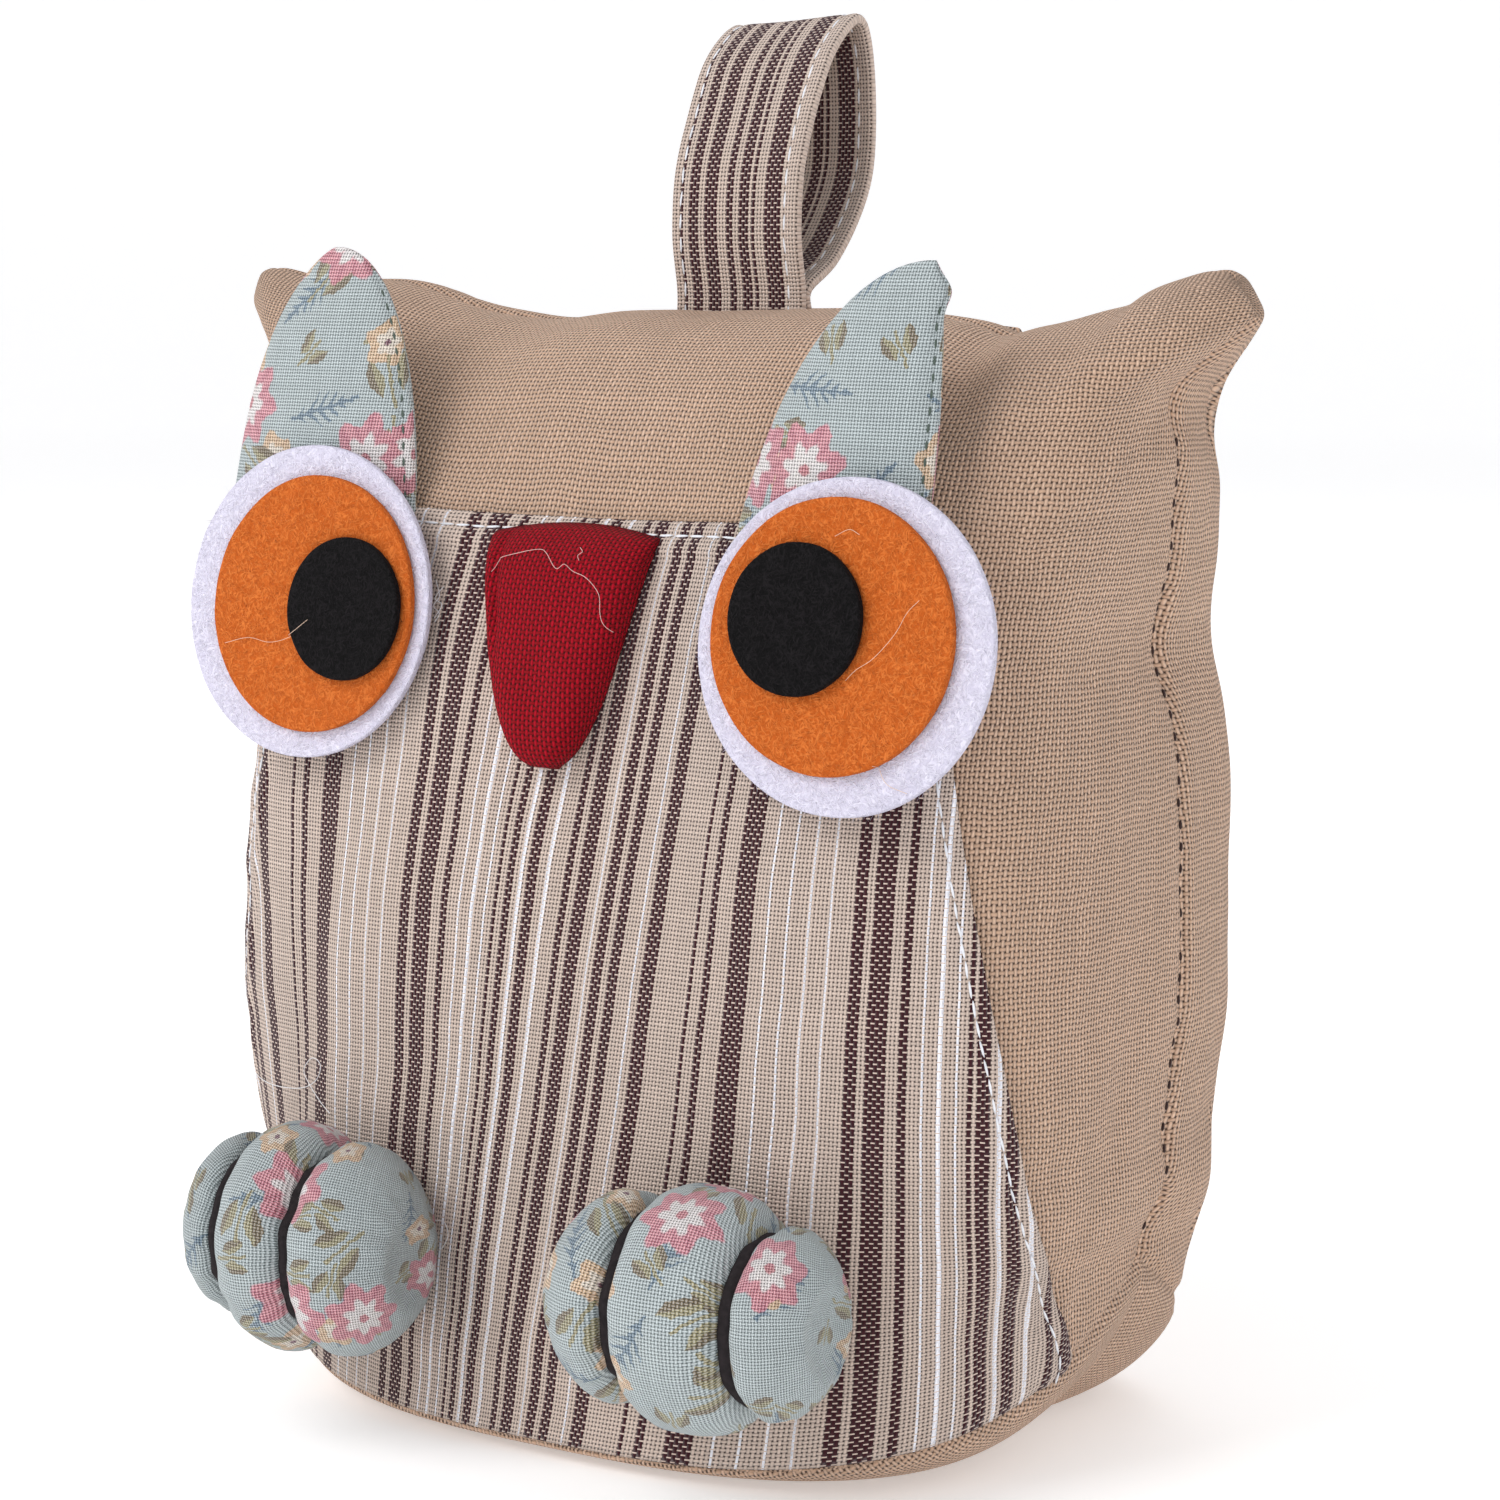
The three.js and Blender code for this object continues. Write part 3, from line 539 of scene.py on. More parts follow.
def end_tree(tree, geometry, material):
    """Makes the copies real, gives them their material and hands them out."""
    real = add_node(tree, "GeometryNodeRealizeInstances", {}, [geometry])
    even = add_node(tree, "GeometryNodeSetShadeSmooth", {}, [real])
    dressed = add_node(tree, "GeometryNodeSetMaterial", {}, {0: even, 2: material})
    add_node(tree, "NodeGroupOutput", {}, [dressed])
    return tree


def grow(piece, tree, **values):
    """Runs a tree on a piece and keeps what it makes as the piece's mesh."""
    modifier = piece.modifiers.new(tree.name, "NODES")
    modifier.node_group = tree
    names = {item.name: item.identifier for item in tree.interface.items_tree if item.in_out == "INPUT"}
    for label, value in values.items():
        modifier[names[label]] = value
    settle(piece)


def strew(tree, spots, turn, least, most, seed, shape, size):
    """Copies of a shape on points, each turned away from its given turn by random angles."""
    settings = {"data_type": "FLOAT_VECTOR"}
    angle = add_node(tree, "FunctionNodeRandomValue", settings, {0: least, 1: most, 8: seed})
    stray = add_node(tree, "FunctionNodeEulerToRotation", {}, [angle])
    turned = add_node(tree, "FunctionNodeRotateRotation", {"rotation_space": "LOCAL"}, [turn, stray])
    return add_node(tree, "GeometryNodeInstanceOnPoints", {}, {0: spots, 2: shape, 5: turned, 6: size})


def stitch_tree():
    """Short threads end to end along each line, each a slim spindle turned a little at random."""
    tree, given = new_tree("stitches", {
        "Pitch": "Float", "Length": "Float", "Thread": "Float", "Stray": "Float", "Material": "Material",
    })
    curve = add_node(tree, "GeometryNodeMeshToCurve", {}, [given["Geometry"]])
    spots = add_node(tree, "GeometryNodeResampleCurve", {"mode": "LENGTH"}, {0: curve, 3: given["Pitch"]})
    tangent = add_node(tree, "GeometryNodeInputTangent", {}, [])
    turn = add_node(tree, "FunctionNodeAlignRotationToVector", {"axis": "X"}, {2: tangent})
    most = add_node(tree, "ShaderNodeCombineXYZ", {}, [0.0, given["Stray"], given["Stray"]])
    least = add_node(tree, "ShaderNodeVectorMath", {"operation": "SCALE"}, {0: most, "Scale": -1.0})
    spindle = add_node(tree, "GeometryNodeMeshUVSphere", {}, [8, 6, 0.5])
    size = add_node(tree, "ShaderNodeCombineXYZ", {}, [given["Length"], given["Thread"], given["Thread"]])
    stitches = strew(tree, spots, turn, least, most, 7, spindle, size)
    return end_tree(tree, stitches, given["Material"])


def thread_tree():
    """A round thread along each line."""
    tree, given = new_tree("thread", {"Thread": "Float", "Material": "Material"})
    curve = add_node(tree, "GeometryNodeMeshToCurve", {}, [given["Geometry"]])
    values = {"Resolution": 7, "Radius": given["Thread"]}
    circle = add_node(tree, "GeometryNodeCurvePrimitiveCircle", {}, values)
    tube = add_node(tree, "GeometryNodeCurveToMesh", {}, {0: curve, 1: circle, 3: True})
    return end_tree(tree, tube, given["Material"])


STITCHES = stitch_tree()
THREADS = thread_tree()


def lines_of(name, lines):
    """An object of bare lines through points."""
    points, edges = [], []
    for line in lines:
        first = len(points)
        points += [tuple(map(float, point)) for point in line]
        edges += [(first + k, first + k + 1) for k in range(len(line) - 1)]
    mesh = bpy.data.meshes.new(name)
    mesh.from_pydata(points, edges, [])
    return placed(name, mesh)


def sew(name, lines, material, pitch, length, thread):
    """A row of stitches along each line: their pitch, length and thickness, in metres."""
    piece = lines_of(name, lines)
    grow(piece, STITCHES, Pitch=pitch, Length=length, Thread=thread, Stray=0.08, Material=material)
    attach(piece, "root")


def thread_finish(name, shade):
    finish = Finish(name, 0.7)
    place = finish.place()
    twist = finish.grain(place, 2500.0)
    tone = finish.grain(place, 400.0) * 0.4 + 0.8
    return finish.wear(finish.tint(shade, tone), twist, 0.00008)


WHITE_THREAD = thread_finish("white_thread", colour(232, 234, 240))
DARK_THREAD = thread_finish("dark_thread", colour(62, 46, 44))


def sewn_body():
    front, front_cloth, front_reach = panel_sheet(-1)
    back, back_cloth, back_reach = panel_sheet(1)
    seam = np.concatenate([front[0], back[0][-2:0:-1], front[0][:1]])
    base, base_cloth, base_reach = base_sheet(seam)
    piece, place = sewn("body_cover", [
        (front, front_cloth, False),
        (back, back_cloth + [0.5, 0], True),
        (base, base_cloth, True),
    ])
    count = front_reach.size
    index = place[:count].reshape(front_reach.shape)
    to_seam = np.zeros(len(piece.data.vertices))
    to_seam[place] = np.concatenate([front_reach.ravel(), back_reach.ravel(), base_reach.ravel()])
    held = np.unique(np.concatenate([place[2 * count:], np.flatnonzero(to_seam < 1e-6)]))
    move = swell(piece, held, CREASES["most"])
    free = CREASES["share"] * smooth(to_seam, CREASES["from"], CREASES["to"])
    creases = free[:, None] * (move - evened(piece, move, CREASES["evened"]))
    move_to(piece, places_of(piece.data) + creases)
    piece.data.attributes.new("to_seam", "FLOAT", "POINT").data.foreach_set("value", to_seam)
    divide(piece)
    groove_seams(piece)
    return piece, [index[:, -1], index[:, 0]]


def fold_depth(points, normals):
    """How deep the folds of the front lie at each point."""
    flat = points[:, [0, 2]]
    depth = np.zeros(len(points))
    for start, end, most, reach in FOLDS:
        start, way = np.array(start), np.array(end) - np.array(start)
        share = np.clip((flat - start) @ way / (way @ way), 0, 1)
        away = np.linalg.norm(flat - start - share[:, None] * way, axis=1)
        depth += most * (1 - share * 0.6) * hump(away, reach)
    return depth * (normals[:, 1] < 0.3)


def groove_seams(piece):
    """Draws the cloth in along the seams, and lets the panels wave a little."""
    points, normals = places_of(piece.data), normals_of(piece.data)
    to_seam = np.array([value.value for value in piece.data.attributes["to_seam"].data])
    off_floor = smooth(points[:, 2], 0.002, 0.02)
    pucker = 1 + 0.5 * ripple(points, SEAM_GROOVE["pucker"], 1)
    depth = SEAM_GROOVE["depth"] * pucker * hump(to_seam, SEAM_GROOVE["reach"])
    wave = sum(height * ripple(points, length, seed) for height, length, seed in BODY_WAVES)
    move = (wave - depth - fold_depth(points, normals)) * off_floor
    move_to(piece, points + normals * move[:, None])
    piece.data.attributes.remove(piece.data.attributes["to_seam"])


def stitch_body_seams():
    """The side seams' stitches show as short dark dashes in the groove."""
    points = places_of(body.data)
    raised = points + normals_of(body.data) * SEAM_STITCH["lift"]
    lines = []
    for column in body_seams:
        height = points[column, 2]
        lines.append(raised[column[(height > SEAM_STITCH["low"]) & (height < SEAM_STITCH["high"])]])
    sew("body_seam_stitches", lines, DARK_THREAD, 0.0036, 0.0016, 0.00055)


body, body_seams = sewn_body()
body.data.materials.append(tan_cotton())
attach(body, "root")
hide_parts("body")
stitch_body_seams()

# The belly panel is a trapezium of ticking, its top and sides turned under and topstitched in white thread.
# It lies on the front panel and is caught in the base seam, and its cloth was pulled askew as it was sewn.
PANEL_TOP = 0.725
PANEL_BOTTOM = 0.004
PANEL_HALF_WIDTHS = (0.091, 0.061)
PANEL_LIFT = 0.0009
PANEL_THICKNESS = 0.0006
PANEL_COLUMNS = 92
PANEL_ROWS = 84
HEM = {
    "width": 0.0062, "fold": 0.0005, "step": 0.0008, "stitch": 0.0026, "dent": 0.00035, "needle": 0.0005,
    "edge": 0.0004, "pucker": 0.0004, "pucker_reach": 0.007,
}
HEM_STEPS = (
    0, 0.0002, 0.0006, 0.0012, 0.0018, 0.0022, 0.0026, 0.0030, 0.0034, 0.0042, 0.0052, 0.0060, 0.0066,
)
# Where the panel's cloth was pulled askew: how steeply, the place across and its reach.
PULLS = ((0.155, 0.006, 0.042), (-0.06, -0.066, 0.012))
PULL_MIDDLE = 0.082
TICKING_THREADS = (0.00063, 0.0007)
CREAM = colour(211, 191, 178)
PLUM_BROWN = colour(62, 29, 35)
WHITE_STRIPE = colour(242, 242, 250)
# The colour of the painted shade in the holes between the ticking's threads.
TICKING_HOLE_SHADE = colour(64, 40, 36)
WHITE_LINE = 0.46
STRIPES_FROM = 0.002
# One repeat of the stripes, and where it starts, in metres; the dark bands' and white lines' places in
# millimetres, with the bands' widths.
TICKING = {
    "repeat": 0.0844,
    "middle": -0.0486,
    "dark": ((0, 3.9), (19.1, 1.9), (23, 2.7), (27, 1.6), (37, 0.6), (38.8, 1.4), (43.2, 1.8), (49.8, 1.4),
             (51.9, 0.6), (53.1, 1.9), (58.4, 1.8), (61.4, 1.9), (68, 2.8), (75.8, 0.6), (78.7, 1.4)),
    "white": (4.6, 7.9, 11.2, 14.5, 30, 32.5, 35, 41, 46, 56, 65.2),
}


def skin_of(piece):
    points = [vertex.co for vertex in piece.data.vertices]
    return BVHTree.FromPolygons(points, [face.vertices for face in piece.data.polygons])


def fronts(skin, x, z):
    """How far forward a skin's front lies at each place; beside or above it, anything is in front of it."""
    hits = [skin.ray_cast(Vector((a, -0.3, c)), Vector((0, 1, 0)))[0] for a, c in zip(x.ravel(), z.ravel())]
    return np.array([hit.y if hit else 1.0 for hit in hits]).reshape(x.shape)


BODY_SKIN = skin_of(body)


def facing(rows):
    """The unit normal at each point of a sheet whose columns run to the right and rows run up."""
    return unit(np.cross(np.gradient(rows, axis=1), np.gradient(rows, axis=0)))


def in_plane(x, y):
    return np.stack([x, y, 0 * x], axis=-1)


def laid_on_body(rows, normals, lift):
    """Sets a sheet's points on the body along their normals, and lifts each by its own height."""
    laid = rows.copy()
    for place in np.ndindex(rows.shape[:2]):
        point, out = Vector(rows[place]), Vector(normals[place])
        hit = BODY_SKIN.ray_cast(point + out * 0.012, -out, 0.03)[0]
        if hit is None:
            hit = BODY_SKIN.find_nearest(point)[0]
        laid[place] = hit + out * float(lift[place])
    return laid


def skewed(u, height):
    """How far the cloth of the belly panel was pulled sideways at a place, on its way up."""
    slope = sum(amount * hump(u - place, reach) for amount, place, reach in PULLS)
    return u - slope * (height - PULL_MIDDLE)


def panel_form():
    """The panel on the body's own form: its points, their cloth, their way to the hem and along it."""
    top_steps = np.array(HEM_STEPS)
    inner = np.linspace(0, 1, PANEL_ROWS)[:-1] * (1 - HEM_STEPS[-1] / (PANEL_TOP * PANEL_CLOTH))
    up = np.r_[inner, 1 - top_steps[::-1] / (PANEL_TOP * PANEL_CLOTH)]
    rows, cloth, edge, along = [], [], [], []
    for share in up:
        half = blend(*PANEL_HALF_WIDTHS, share)
        from_edge = np.r_[top_steps, np.linspace(HEM_STEPS[-1], half, PANEL_COLUMNS // 2)[1:]]
        u = np.r_[from_edge - half, (half - from_edge)[-2::-1]]
        place = blend(PANEL_BOTTOM, PANEL_TOP, share)
        length = panel_row(-1, place, np.array([0.0]))[1]
        rows.append(panel_row(-1, place, u / length)[0])
        cloth.append(np.stack([u, np.full_like(u, place * PANEL_CLOTH)], axis=-1))
        down = (1 - share) * (PANEL_TOP - PANEL_BOTTOM) * PANEL_CLOTH
        edge.append(np.minimum(half - np.abs(u), down))
        along.append(np.where(half - np.abs(u) < down, place * PANEL_CLOTH, u + 0.5))
    return [np.array(found) for found in (rows, cloth, edge, along)]


def panel_lift(rows, edge, along):
    """How high the panel stands off the body: thicker in the hem, dented and puckered at its stitches."""
    fold = HEM["fold"] * (1 - smooth(edge, HEM["width"] - HEM["step"], HEM["width"]))
    dent = HEM["dent"] * hump(edge - HEM["stitch"], HEM["needle"])
    rounded = HEM["edge"] * (1 - smooth(edge, 0, HEM["step"]))
    pucker = HEM["pucker"] * ripple(in_plane(along, edge * 0.4), 0.005, 5) * hump(edge, HEM["pucker_reach"])
    wave = 0.0002 * (1 + ripple(rows, 0.018, 6))
    return PANEL_LIFT + fold - dent - rounded + pucker + wave


def thicken(piece, thickness):
    modifier = piece.modifiers.new("thickness", "SOLIDIFY")
    modifier.thickness = thickness
    modifier.offset = -1
    settle(piece)


def stripes(finish, count, pattern, bands):
    """1 inside the bands and 0 outside, in each repeat of a pattern, from a place counted in threads."""
    repeat = pattern["repeat"]
    share = ((count * TICKING_THREADS[0] + (STRIPES_FROM - pattern["middle"])) % repeat) / repeat
    stops = [(0.0, (0, 0, 0, 1))]
    for place, width in bands:
        for edge, level in ((place - width / 2, 1), (place + width / 2, 0)):
            stops.append(((edge / 1000 + STRIPES_FROM) / repeat, (level, level, level, 1)))
    return finish.node("ShaderNodeValToRGB", {"stops": stops, "steps": "CONSTANT"}, [share])


def ticking(name, pattern):
    """Striped cotton: upright threads in bands of plum brown, cream and white, crossed by cream threads."""
    finish = Finish(name)
    across, up = threads(finish, TICKING_THREADS, 0.45)
    # The dark bands are whole threads, and the white lines are finer than a thread.
    in_dark = stripes(finish, math.floor(across) + 0.5, pattern, pattern["dark"])
    in_white = stripes(finish, across, pattern, [(place, WHITE_LINE) for place in pattern["white"]])
    over, woven = weave(finish, across, up, in_dark * 0.84 + in_white * 0.9)
    warp = finish.mix(in_white, finish.mix(in_dark, CREAM, PLUM_BROWN), WHITE_STRIPE)
    # The holes between the threads are dark with painted shade.
    return finish.wear_weave(finish.mix(over, CREAM, warp), woven, 0.9, TICKING_HOLE_SHADE, 0.00025)


def belly_panel():
    """The panel's cloth, and the topstitch that runs up one side, over the top and down the other."""
    rows, cloth, edge, along = panel_form()
    normals = facing(rows)
    laid = laid_on_body(rows, normals, panel_lift(rows, edge, along))
    flat = cloth.copy()
    flat[:, :, 0] = skewed(cloth[:, :, 0], cloth[:, :, 1])
    piece, _ = sewn("belly_panel_cloth", [(laid, flat, False)])
    thicken(piece, PANEL_THICKNESS)
    piece.data.materials.append(ticking("striped_cotton", TICKING))
    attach(piece, "root")
    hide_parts("belly_panel")
    k = HEM_STEPS.index(HEM["stitch"])
    raised = laid + normals * 0.00012
    line = np.concatenate([raised[:-k, k], raised[-1 - k, k:-k], raised[:-k, -1 - k][::-1]])
    sew("belly_panel_topstitch", [line], WHITE_THREAD, 0.0031, 0.0029, 0.00042)


belly_panel()

# The handle is a folded tube of ticking, stitched along both edges and bent into a loop.
# Its two ends are sewn into the top seam of the body, one before the other.
STRAP_WIDTH = 0.0256
STRAP_THICKNESS = 0.002
STRAP_FOOT = 0.1888
STRAP_BASE = 0.1845
STRAP_TOP = 0.2338
# The loop's middle line: how far back from the seam in millimetres, and how high from foot to top.
STRAP_LINE = (
    (-1, 0), (-2.5, 0.22), (-1, 0.48), (6.3, 0.83), (15.6, 1), (19.9, 0.9), (21.2, 0.6), (18.9, 0.36),
    (10, 0.12), (1, 0),
)
STRAP_DROOP = 0.0013
STRAP_SET_BACK = 0.002
STRAP_STITCHES = (0.0021, 0.0228)
STRAP_EDGE = 0.0009
STRAP_DENT = {"depth": 0.0003, "reach": 0.0005}
STRAP_TICKING = {
    "repeat": STRAP_WIDTH,
    "middle": 0.0,
    "dark": ((2.1, 0.5), (4.7, 1.5), (8.1, 2.1), (11.7, 1.3), (14.7, 1.7), (16.6, 0.55), (20.6, 2.8)),
    "white": (),
}


def smooth_line(points, steps=12):
    """A smooth line through a few points, with so many steps between each two."""
    points = np.array(points, dtype=float)
    ends = np.concatenate([2 * points[:1] - points[1:2], points, 2 * points[-1:] - points[-2:-1]])
    share = np.linspace(0, 1, steps + 1)[:-1, None]
    line = []
    for k in range(len(points) - 1):
        a, b, c, d = ends[k:k + 4]
        line.append(0.5 * (2 * b + (c - a) * share + (2 * a - 5 * b + 4 * c - d) * share**2
                           + (3 * b - a - 3 * c + d) * share**3))
    return np.concatenate([*line, points[-1:]])


def strap_line():
    marks = [(-1, STRAP_BASE)] + [(back, blend(STRAP_FOOT, STRAP_TOP, rise)) for back, rise in STRAP_LINE]
    marks.append((1, STRAP_BASE))
    line = smooth_line([(back / 1000 + STRAP_SET_BACK, height) for back, height in marks])
    return points_along(line, np.linspace(0, 1, 150))


def strap_section():
    """The flat tube's section: places across it and half its thickness there."""
    half = STRAP_WIDTH / 2
    across = np.r_[0, 0.15, 0.4, 0.8, 1.2, 1.6, 2.0, 2.4, 2.8] / 1000 - half
    across = np.r_[across, np.linspace(across[-1], -across[-1], 18)[1:-1], -across[::-1]]
    from_edge = np.clip((half - np.abs(across)) / STRAP_EDGE, 0, 1)
    thick = STRAP_THICKNESS / 2 * np.sqrt(1 - (1 - from_edge) ** 2)
    for stitch in STRAP_STITCHES:
        thick = thick - STRAP_DENT["depth"] * hump(across - stitch + half, STRAP_DENT["reach"])
    return across, np.maximum(thick, 0)


def strap():
    line = strap_line()
    across, thick = strap_section()
    count = len(line)
    along = unit(np.gradient(line, axis=0))
    out = np.stack([-along[:, 1], along[:, 0]], axis=-1)
    length = lengths_along(line)
    rise = (line[:, 1] - STRAP_BASE) / (STRAP_TOP - STRAP_BASE)
    sheets = []
    for side in (1, -1):
        rows = np.zeros((count, len(across), 3))
        rows[:, :, 0] = across
        cloth = np.zeros((count, len(across), 2))
        cloth[:, :, 0] = across + STRAP_WIDTH / 2
        cloth[:, :, 1] = length[:, None]
        spots = in_plane(rows[:, :, 0] * 0.6, cloth[:, :, 1])
        wave = 0.0004 * ripple(spots, 0.009, 8) * np.clip(rise, 0, 1)[:, None]
        offset = side * thick[None, :] + wave
        rows[:, :, 1] = line[:, :1] + out[:, :1] * offset
        rows[:, :, 2] = line[:, 1:] + out[:, 1:] * offset
        rows[:, :, 2] -= STRAP_DROOP * rise[:, None] ** 3 * (0.5 - across / STRAP_WIDTH)
        sheets.append((rows, cloth, side < 0))
    piece, _ = sewn("handle_loop_cloth", sheets)
    piece.data.materials.append(ticking("striped_cotton_strap", STRAP_TICKING))
    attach(piece, "root")
    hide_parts("handle_loop")
    lines = []
    for stitch in STRAP_STITCHES:
        column = int(np.argmin(np.abs(across + STRAP_WIDTH / 2 - stitch)))
        lines += [rows[:, column] for rows, _, _ in sheets]
    sew("handle_loop_stitches", lines, WHITE_THREAD, 0.0038, 0.003, 0.0004)


strap()

# The ear tufts are two stuffed leaves of printed cotton, sewn together inside out and turned.
# Their outer seams show as stitched flanges. They stand on the forehead, with their feet behind the eyes.
TUFT_SPREAD = 0.0585
# How wide each tuft is to both sides of its tip, the tip's height, and how blunt and knobbed it is.
TUFTS = {
    "left": {
        "side": -1, "inner": 0.0243, "outer": 0.0122, "tip": 0.1955, "blunt": (0.0002, 0.0036), "knob": 0.0,
    },
    "right": {
        "side": 1, "inner": 0.0302, "outer": 0.0038, "tip": 0.1940, "blunt": (0.0012, 0.0008), "knob": 0.0018,
    },
}
TUFT_KNOB = {"below": 0.0046, "reach": 0.0026}
TUFT_SEAM = {"place": 0.93, "reach": 0.025, "depth": 0.0007, "short": 0.0075}
TUFT_HEIGHT = 0.0615
TUFT_SET = -0.034
TUFT_SLOPE = 0.222
TUFT_THICKNESS = (0.003, 0.0095)
TUFT_GAP = 0.0006
PRINT_THREADS = (0.00054, 0.00054)
PRINT_GROUND = colour(178, 190, 191)
# A painted highlight on the threads' tops.
PRINT_THREAD_HIGHLIGHT = colour(236, 238, 242)
# The colour of the painted shade in the holes between the threads.
PRINT_HOLE_SHADE = colour(84, 94, 98)
# A blossom's petals, their rims, its ring and its eye; a leaf's halves; and the ferns.
ROSE = (colour(222, 138, 150), colour(196, 104, 122), colour(240, 232, 230), colour(206, 120, 130))
PEACH = (colour(226, 190, 150), colour(206, 164, 124), colour(238, 224, 206), colour(120, 62, 78))
OLIVE = (colour(160, 150, 108), colour(122, 104, 72))
SLATE_BLUE = colour(104, 128, 146)


def scattered(finish, cloth, spacing, seed, share):
    """Spots on the cloth: the way from the nearest, in metres, turned at random, and 1 where it is used."""
    moved = finish.vector("ADD", [cloth, (seed * 0.37, seed * 0.73, 0.0)])
    values = {"Vector": moved, "Scale": 1 / spacing, "Randomness": 0.7}
    spots = add_node(finish.tree, "ShaderNodeTexVoronoi", {"voronoi_dimensions": "2D"}, values)
    middle, luck = Wire(finish, spots.outputs["Position"]), Wire(finish, spots.outputs["Color"])
    away = finish.vector("SUBTRACT", [moved, middle])
    values = {"Vector": away, "Angle": finish.part(luck, "X") * 6.28}
    turned = finish.node("ShaderNodeVectorRotate", {"rotation_type": "Z_AXIS"}, values)
    ragged = finish.grain(cloth, 900.0, output="Color")
    x, y = (finish.part(turned, axis) + (finish.part(ragged, axis) - 0.5) * 0.0012 for axis in "XY")
    return x, y, finish.part(luck, "Y") < share


def blossoms(finish, cloth, spacing, seed, share, radius, petals, shades):
    """Round blossoms with a darker rim of petals, a pale ring and a dark eye."""
    x, y, used = scattered(finish, cloth, spacing, seed, share)
    angle = y.maths("ARCTAN2", y, x) * petals
    wave = angle.maths("COSINE", angle)
    out = (x * x + y * y) ** 0.5 / radius
    inside = (1 - finish.rise(out - wave * 0.14, 0.82, 0.9)) * used
    streak = finish.rise((angle * 2).maths("SINE", angle * 2) + out, 0.6, 1.6)
    shade = finish.mix(streak * 0.7, shades[0], shades[1])
    shade = finish.mix(1 - finish.rise(out - wave * 0.1, 0.4, 0.52), shade, shades[2])
    return inside, finish.mix(1 - finish.rise(out, 0.1, 0.16), shade, shades[3])


def leaf_pairs(finish, cloth, spacing, seed, share, length, slim, shades):
    """Pointed leaves on both sides of a stem, one half of each darker."""
    x, y, used = scattered(finish, cloth, spacing, seed, share)
    aside = abs(y) - length * 0.3
    along = x / length - 0.15
    half = (0.42 * 0.42 - along * along) * slim
    leaf = finish.rise(half - abs(aside / length - along * 0.25), 0.0, 0.025)
    stem = (abs(y) < 0.0003) * (abs(x) < length * 0.55)
    inside = leaf.maths("MAXIMUM", leaf, stem) * used
    return inside, finish.mix(aside > along * length * 0.25, shades[0], shades[1])


def ferns(finish, cloth, spacing, seed, share, length, shade):
    """Fern sprigs: leaflets that slant from both sides of a thin stem."""
    x, y, used = scattered(finish, cloth, spacing, seed, share)
    reach = (1 - abs(x) / length) * length * 0.45
    slant = ((x - abs(y) * 0.9) / (length * 0.3)) % 1.0
    leaflet = (abs(slant - 0.5) < 0.3 - abs(y) / reach * 0.25) * (abs(y) < reach) * (abs(x) < length)
    stem = (abs(y) < 0.00028) * (abs(x) < length)
    return leaflet.maths("MAXIMUM", leaflet, stem) * used, shade


def printed_cotton():
    """Fine cotton printed with blossoms, leaves and ferns, with a painted highlight on the threads' tops and
    painted shade in its holes.
    """
    finish = Finish("printed_cotton")
    cloth = finish.cloth()
    _, woven = weave(finish, *threads(finish, PRINT_THREADS))
    shade = PRINT_GROUND
    for inside, motif in (
        ferns(finish, cloth, 0.018, 3, 0.75, 0.0072, SLATE_BLUE),
        leaf_pairs(finish, cloth, 0.013, 9, 0.65, 0.0058, 1.2, OLIVE),
        blossoms(finish, cloth, 0.017, 5, 0.6, 0.0044, 5.0, PEACH),
        leaf_pairs(finish, cloth, 0.019, 12, 0.7, 0.0085, 1.0, OLIVE),
        blossoms(finish, cloth, 0.025, 8, 0.7, 0.0078, 7.0, ROSE),
    ):
        shade = finish.mix(inside * 0.95, shade, motif)
    # A painted highlight on the highest parts of the threads.
    shade = finish.mix(finish.rise(woven[0], 0.9, 1.3) * 0.3, shade, PRINT_THREAD_HIGHLIGHT)
    # The holes between the threads are dark with painted shade.
    return finish.wear_weave(shade, woven, 0.7, PRINT_HOLE_SHADE, 0.0002)


PRINTED_COTTON = printed_cotton()
SEAM_THREAD = thread_finish("grey_green_thread", colour(84, 96, 88))


def tuft_form(tuft):
    """A tuft's middle surface, its thickness, its seam's dent and the column that the seam runs down."""
    v = np.sin(np.linspace(0, 1, 61) * np.pi / 2) ** 0.8 * 0.985
    u = np.sin(np.linspace(-1, 1, 41) * np.pi / 2)
    high = np.sin(v * np.pi / 2)[:, None]
    below = TUFT_HEIGHT * (1 - high)
    blunt = np.sqrt(1 - high**14)
    knob = tuft["knob"] * hump(below - TUFT_KNOB["below"], TUFT_KNOB["reach"])
    inner = TUFT_SPREAD - tuft["inner"] * np.sqrt(1 - high**2) - tuft["blunt"][0] * blunt
    outer = TUFT_SPREAD + tuft["outer"] * (1 - high**4) + tuft["blunt"][1] * blunt + knob
    side = tuft["side"]
    x = side * blend(inner, outer, (side * u[None, :] + 1) / 2)
    y = TUFT_SET - TUFT_SLOPE * below + 0 * x
    z = tuft["tip"] - below + 0 * x
    rounded = np.sqrt(1 - high**3) * np.sqrt(1 - u**2)[None, :]
    thickness = blend(*TUFT_THICKNESS, smooth(high, 0.1, 0.5)) * rounded
    dent = TUFT_SEAM["depth"] * hump(u - TUFT_SEAM["place"], TUFT_SEAM["reach"]) + 0 * x
    return x, y, z, thickness, dent, int(np.argmin(np.abs(u - TUFT_SEAM["place"])))


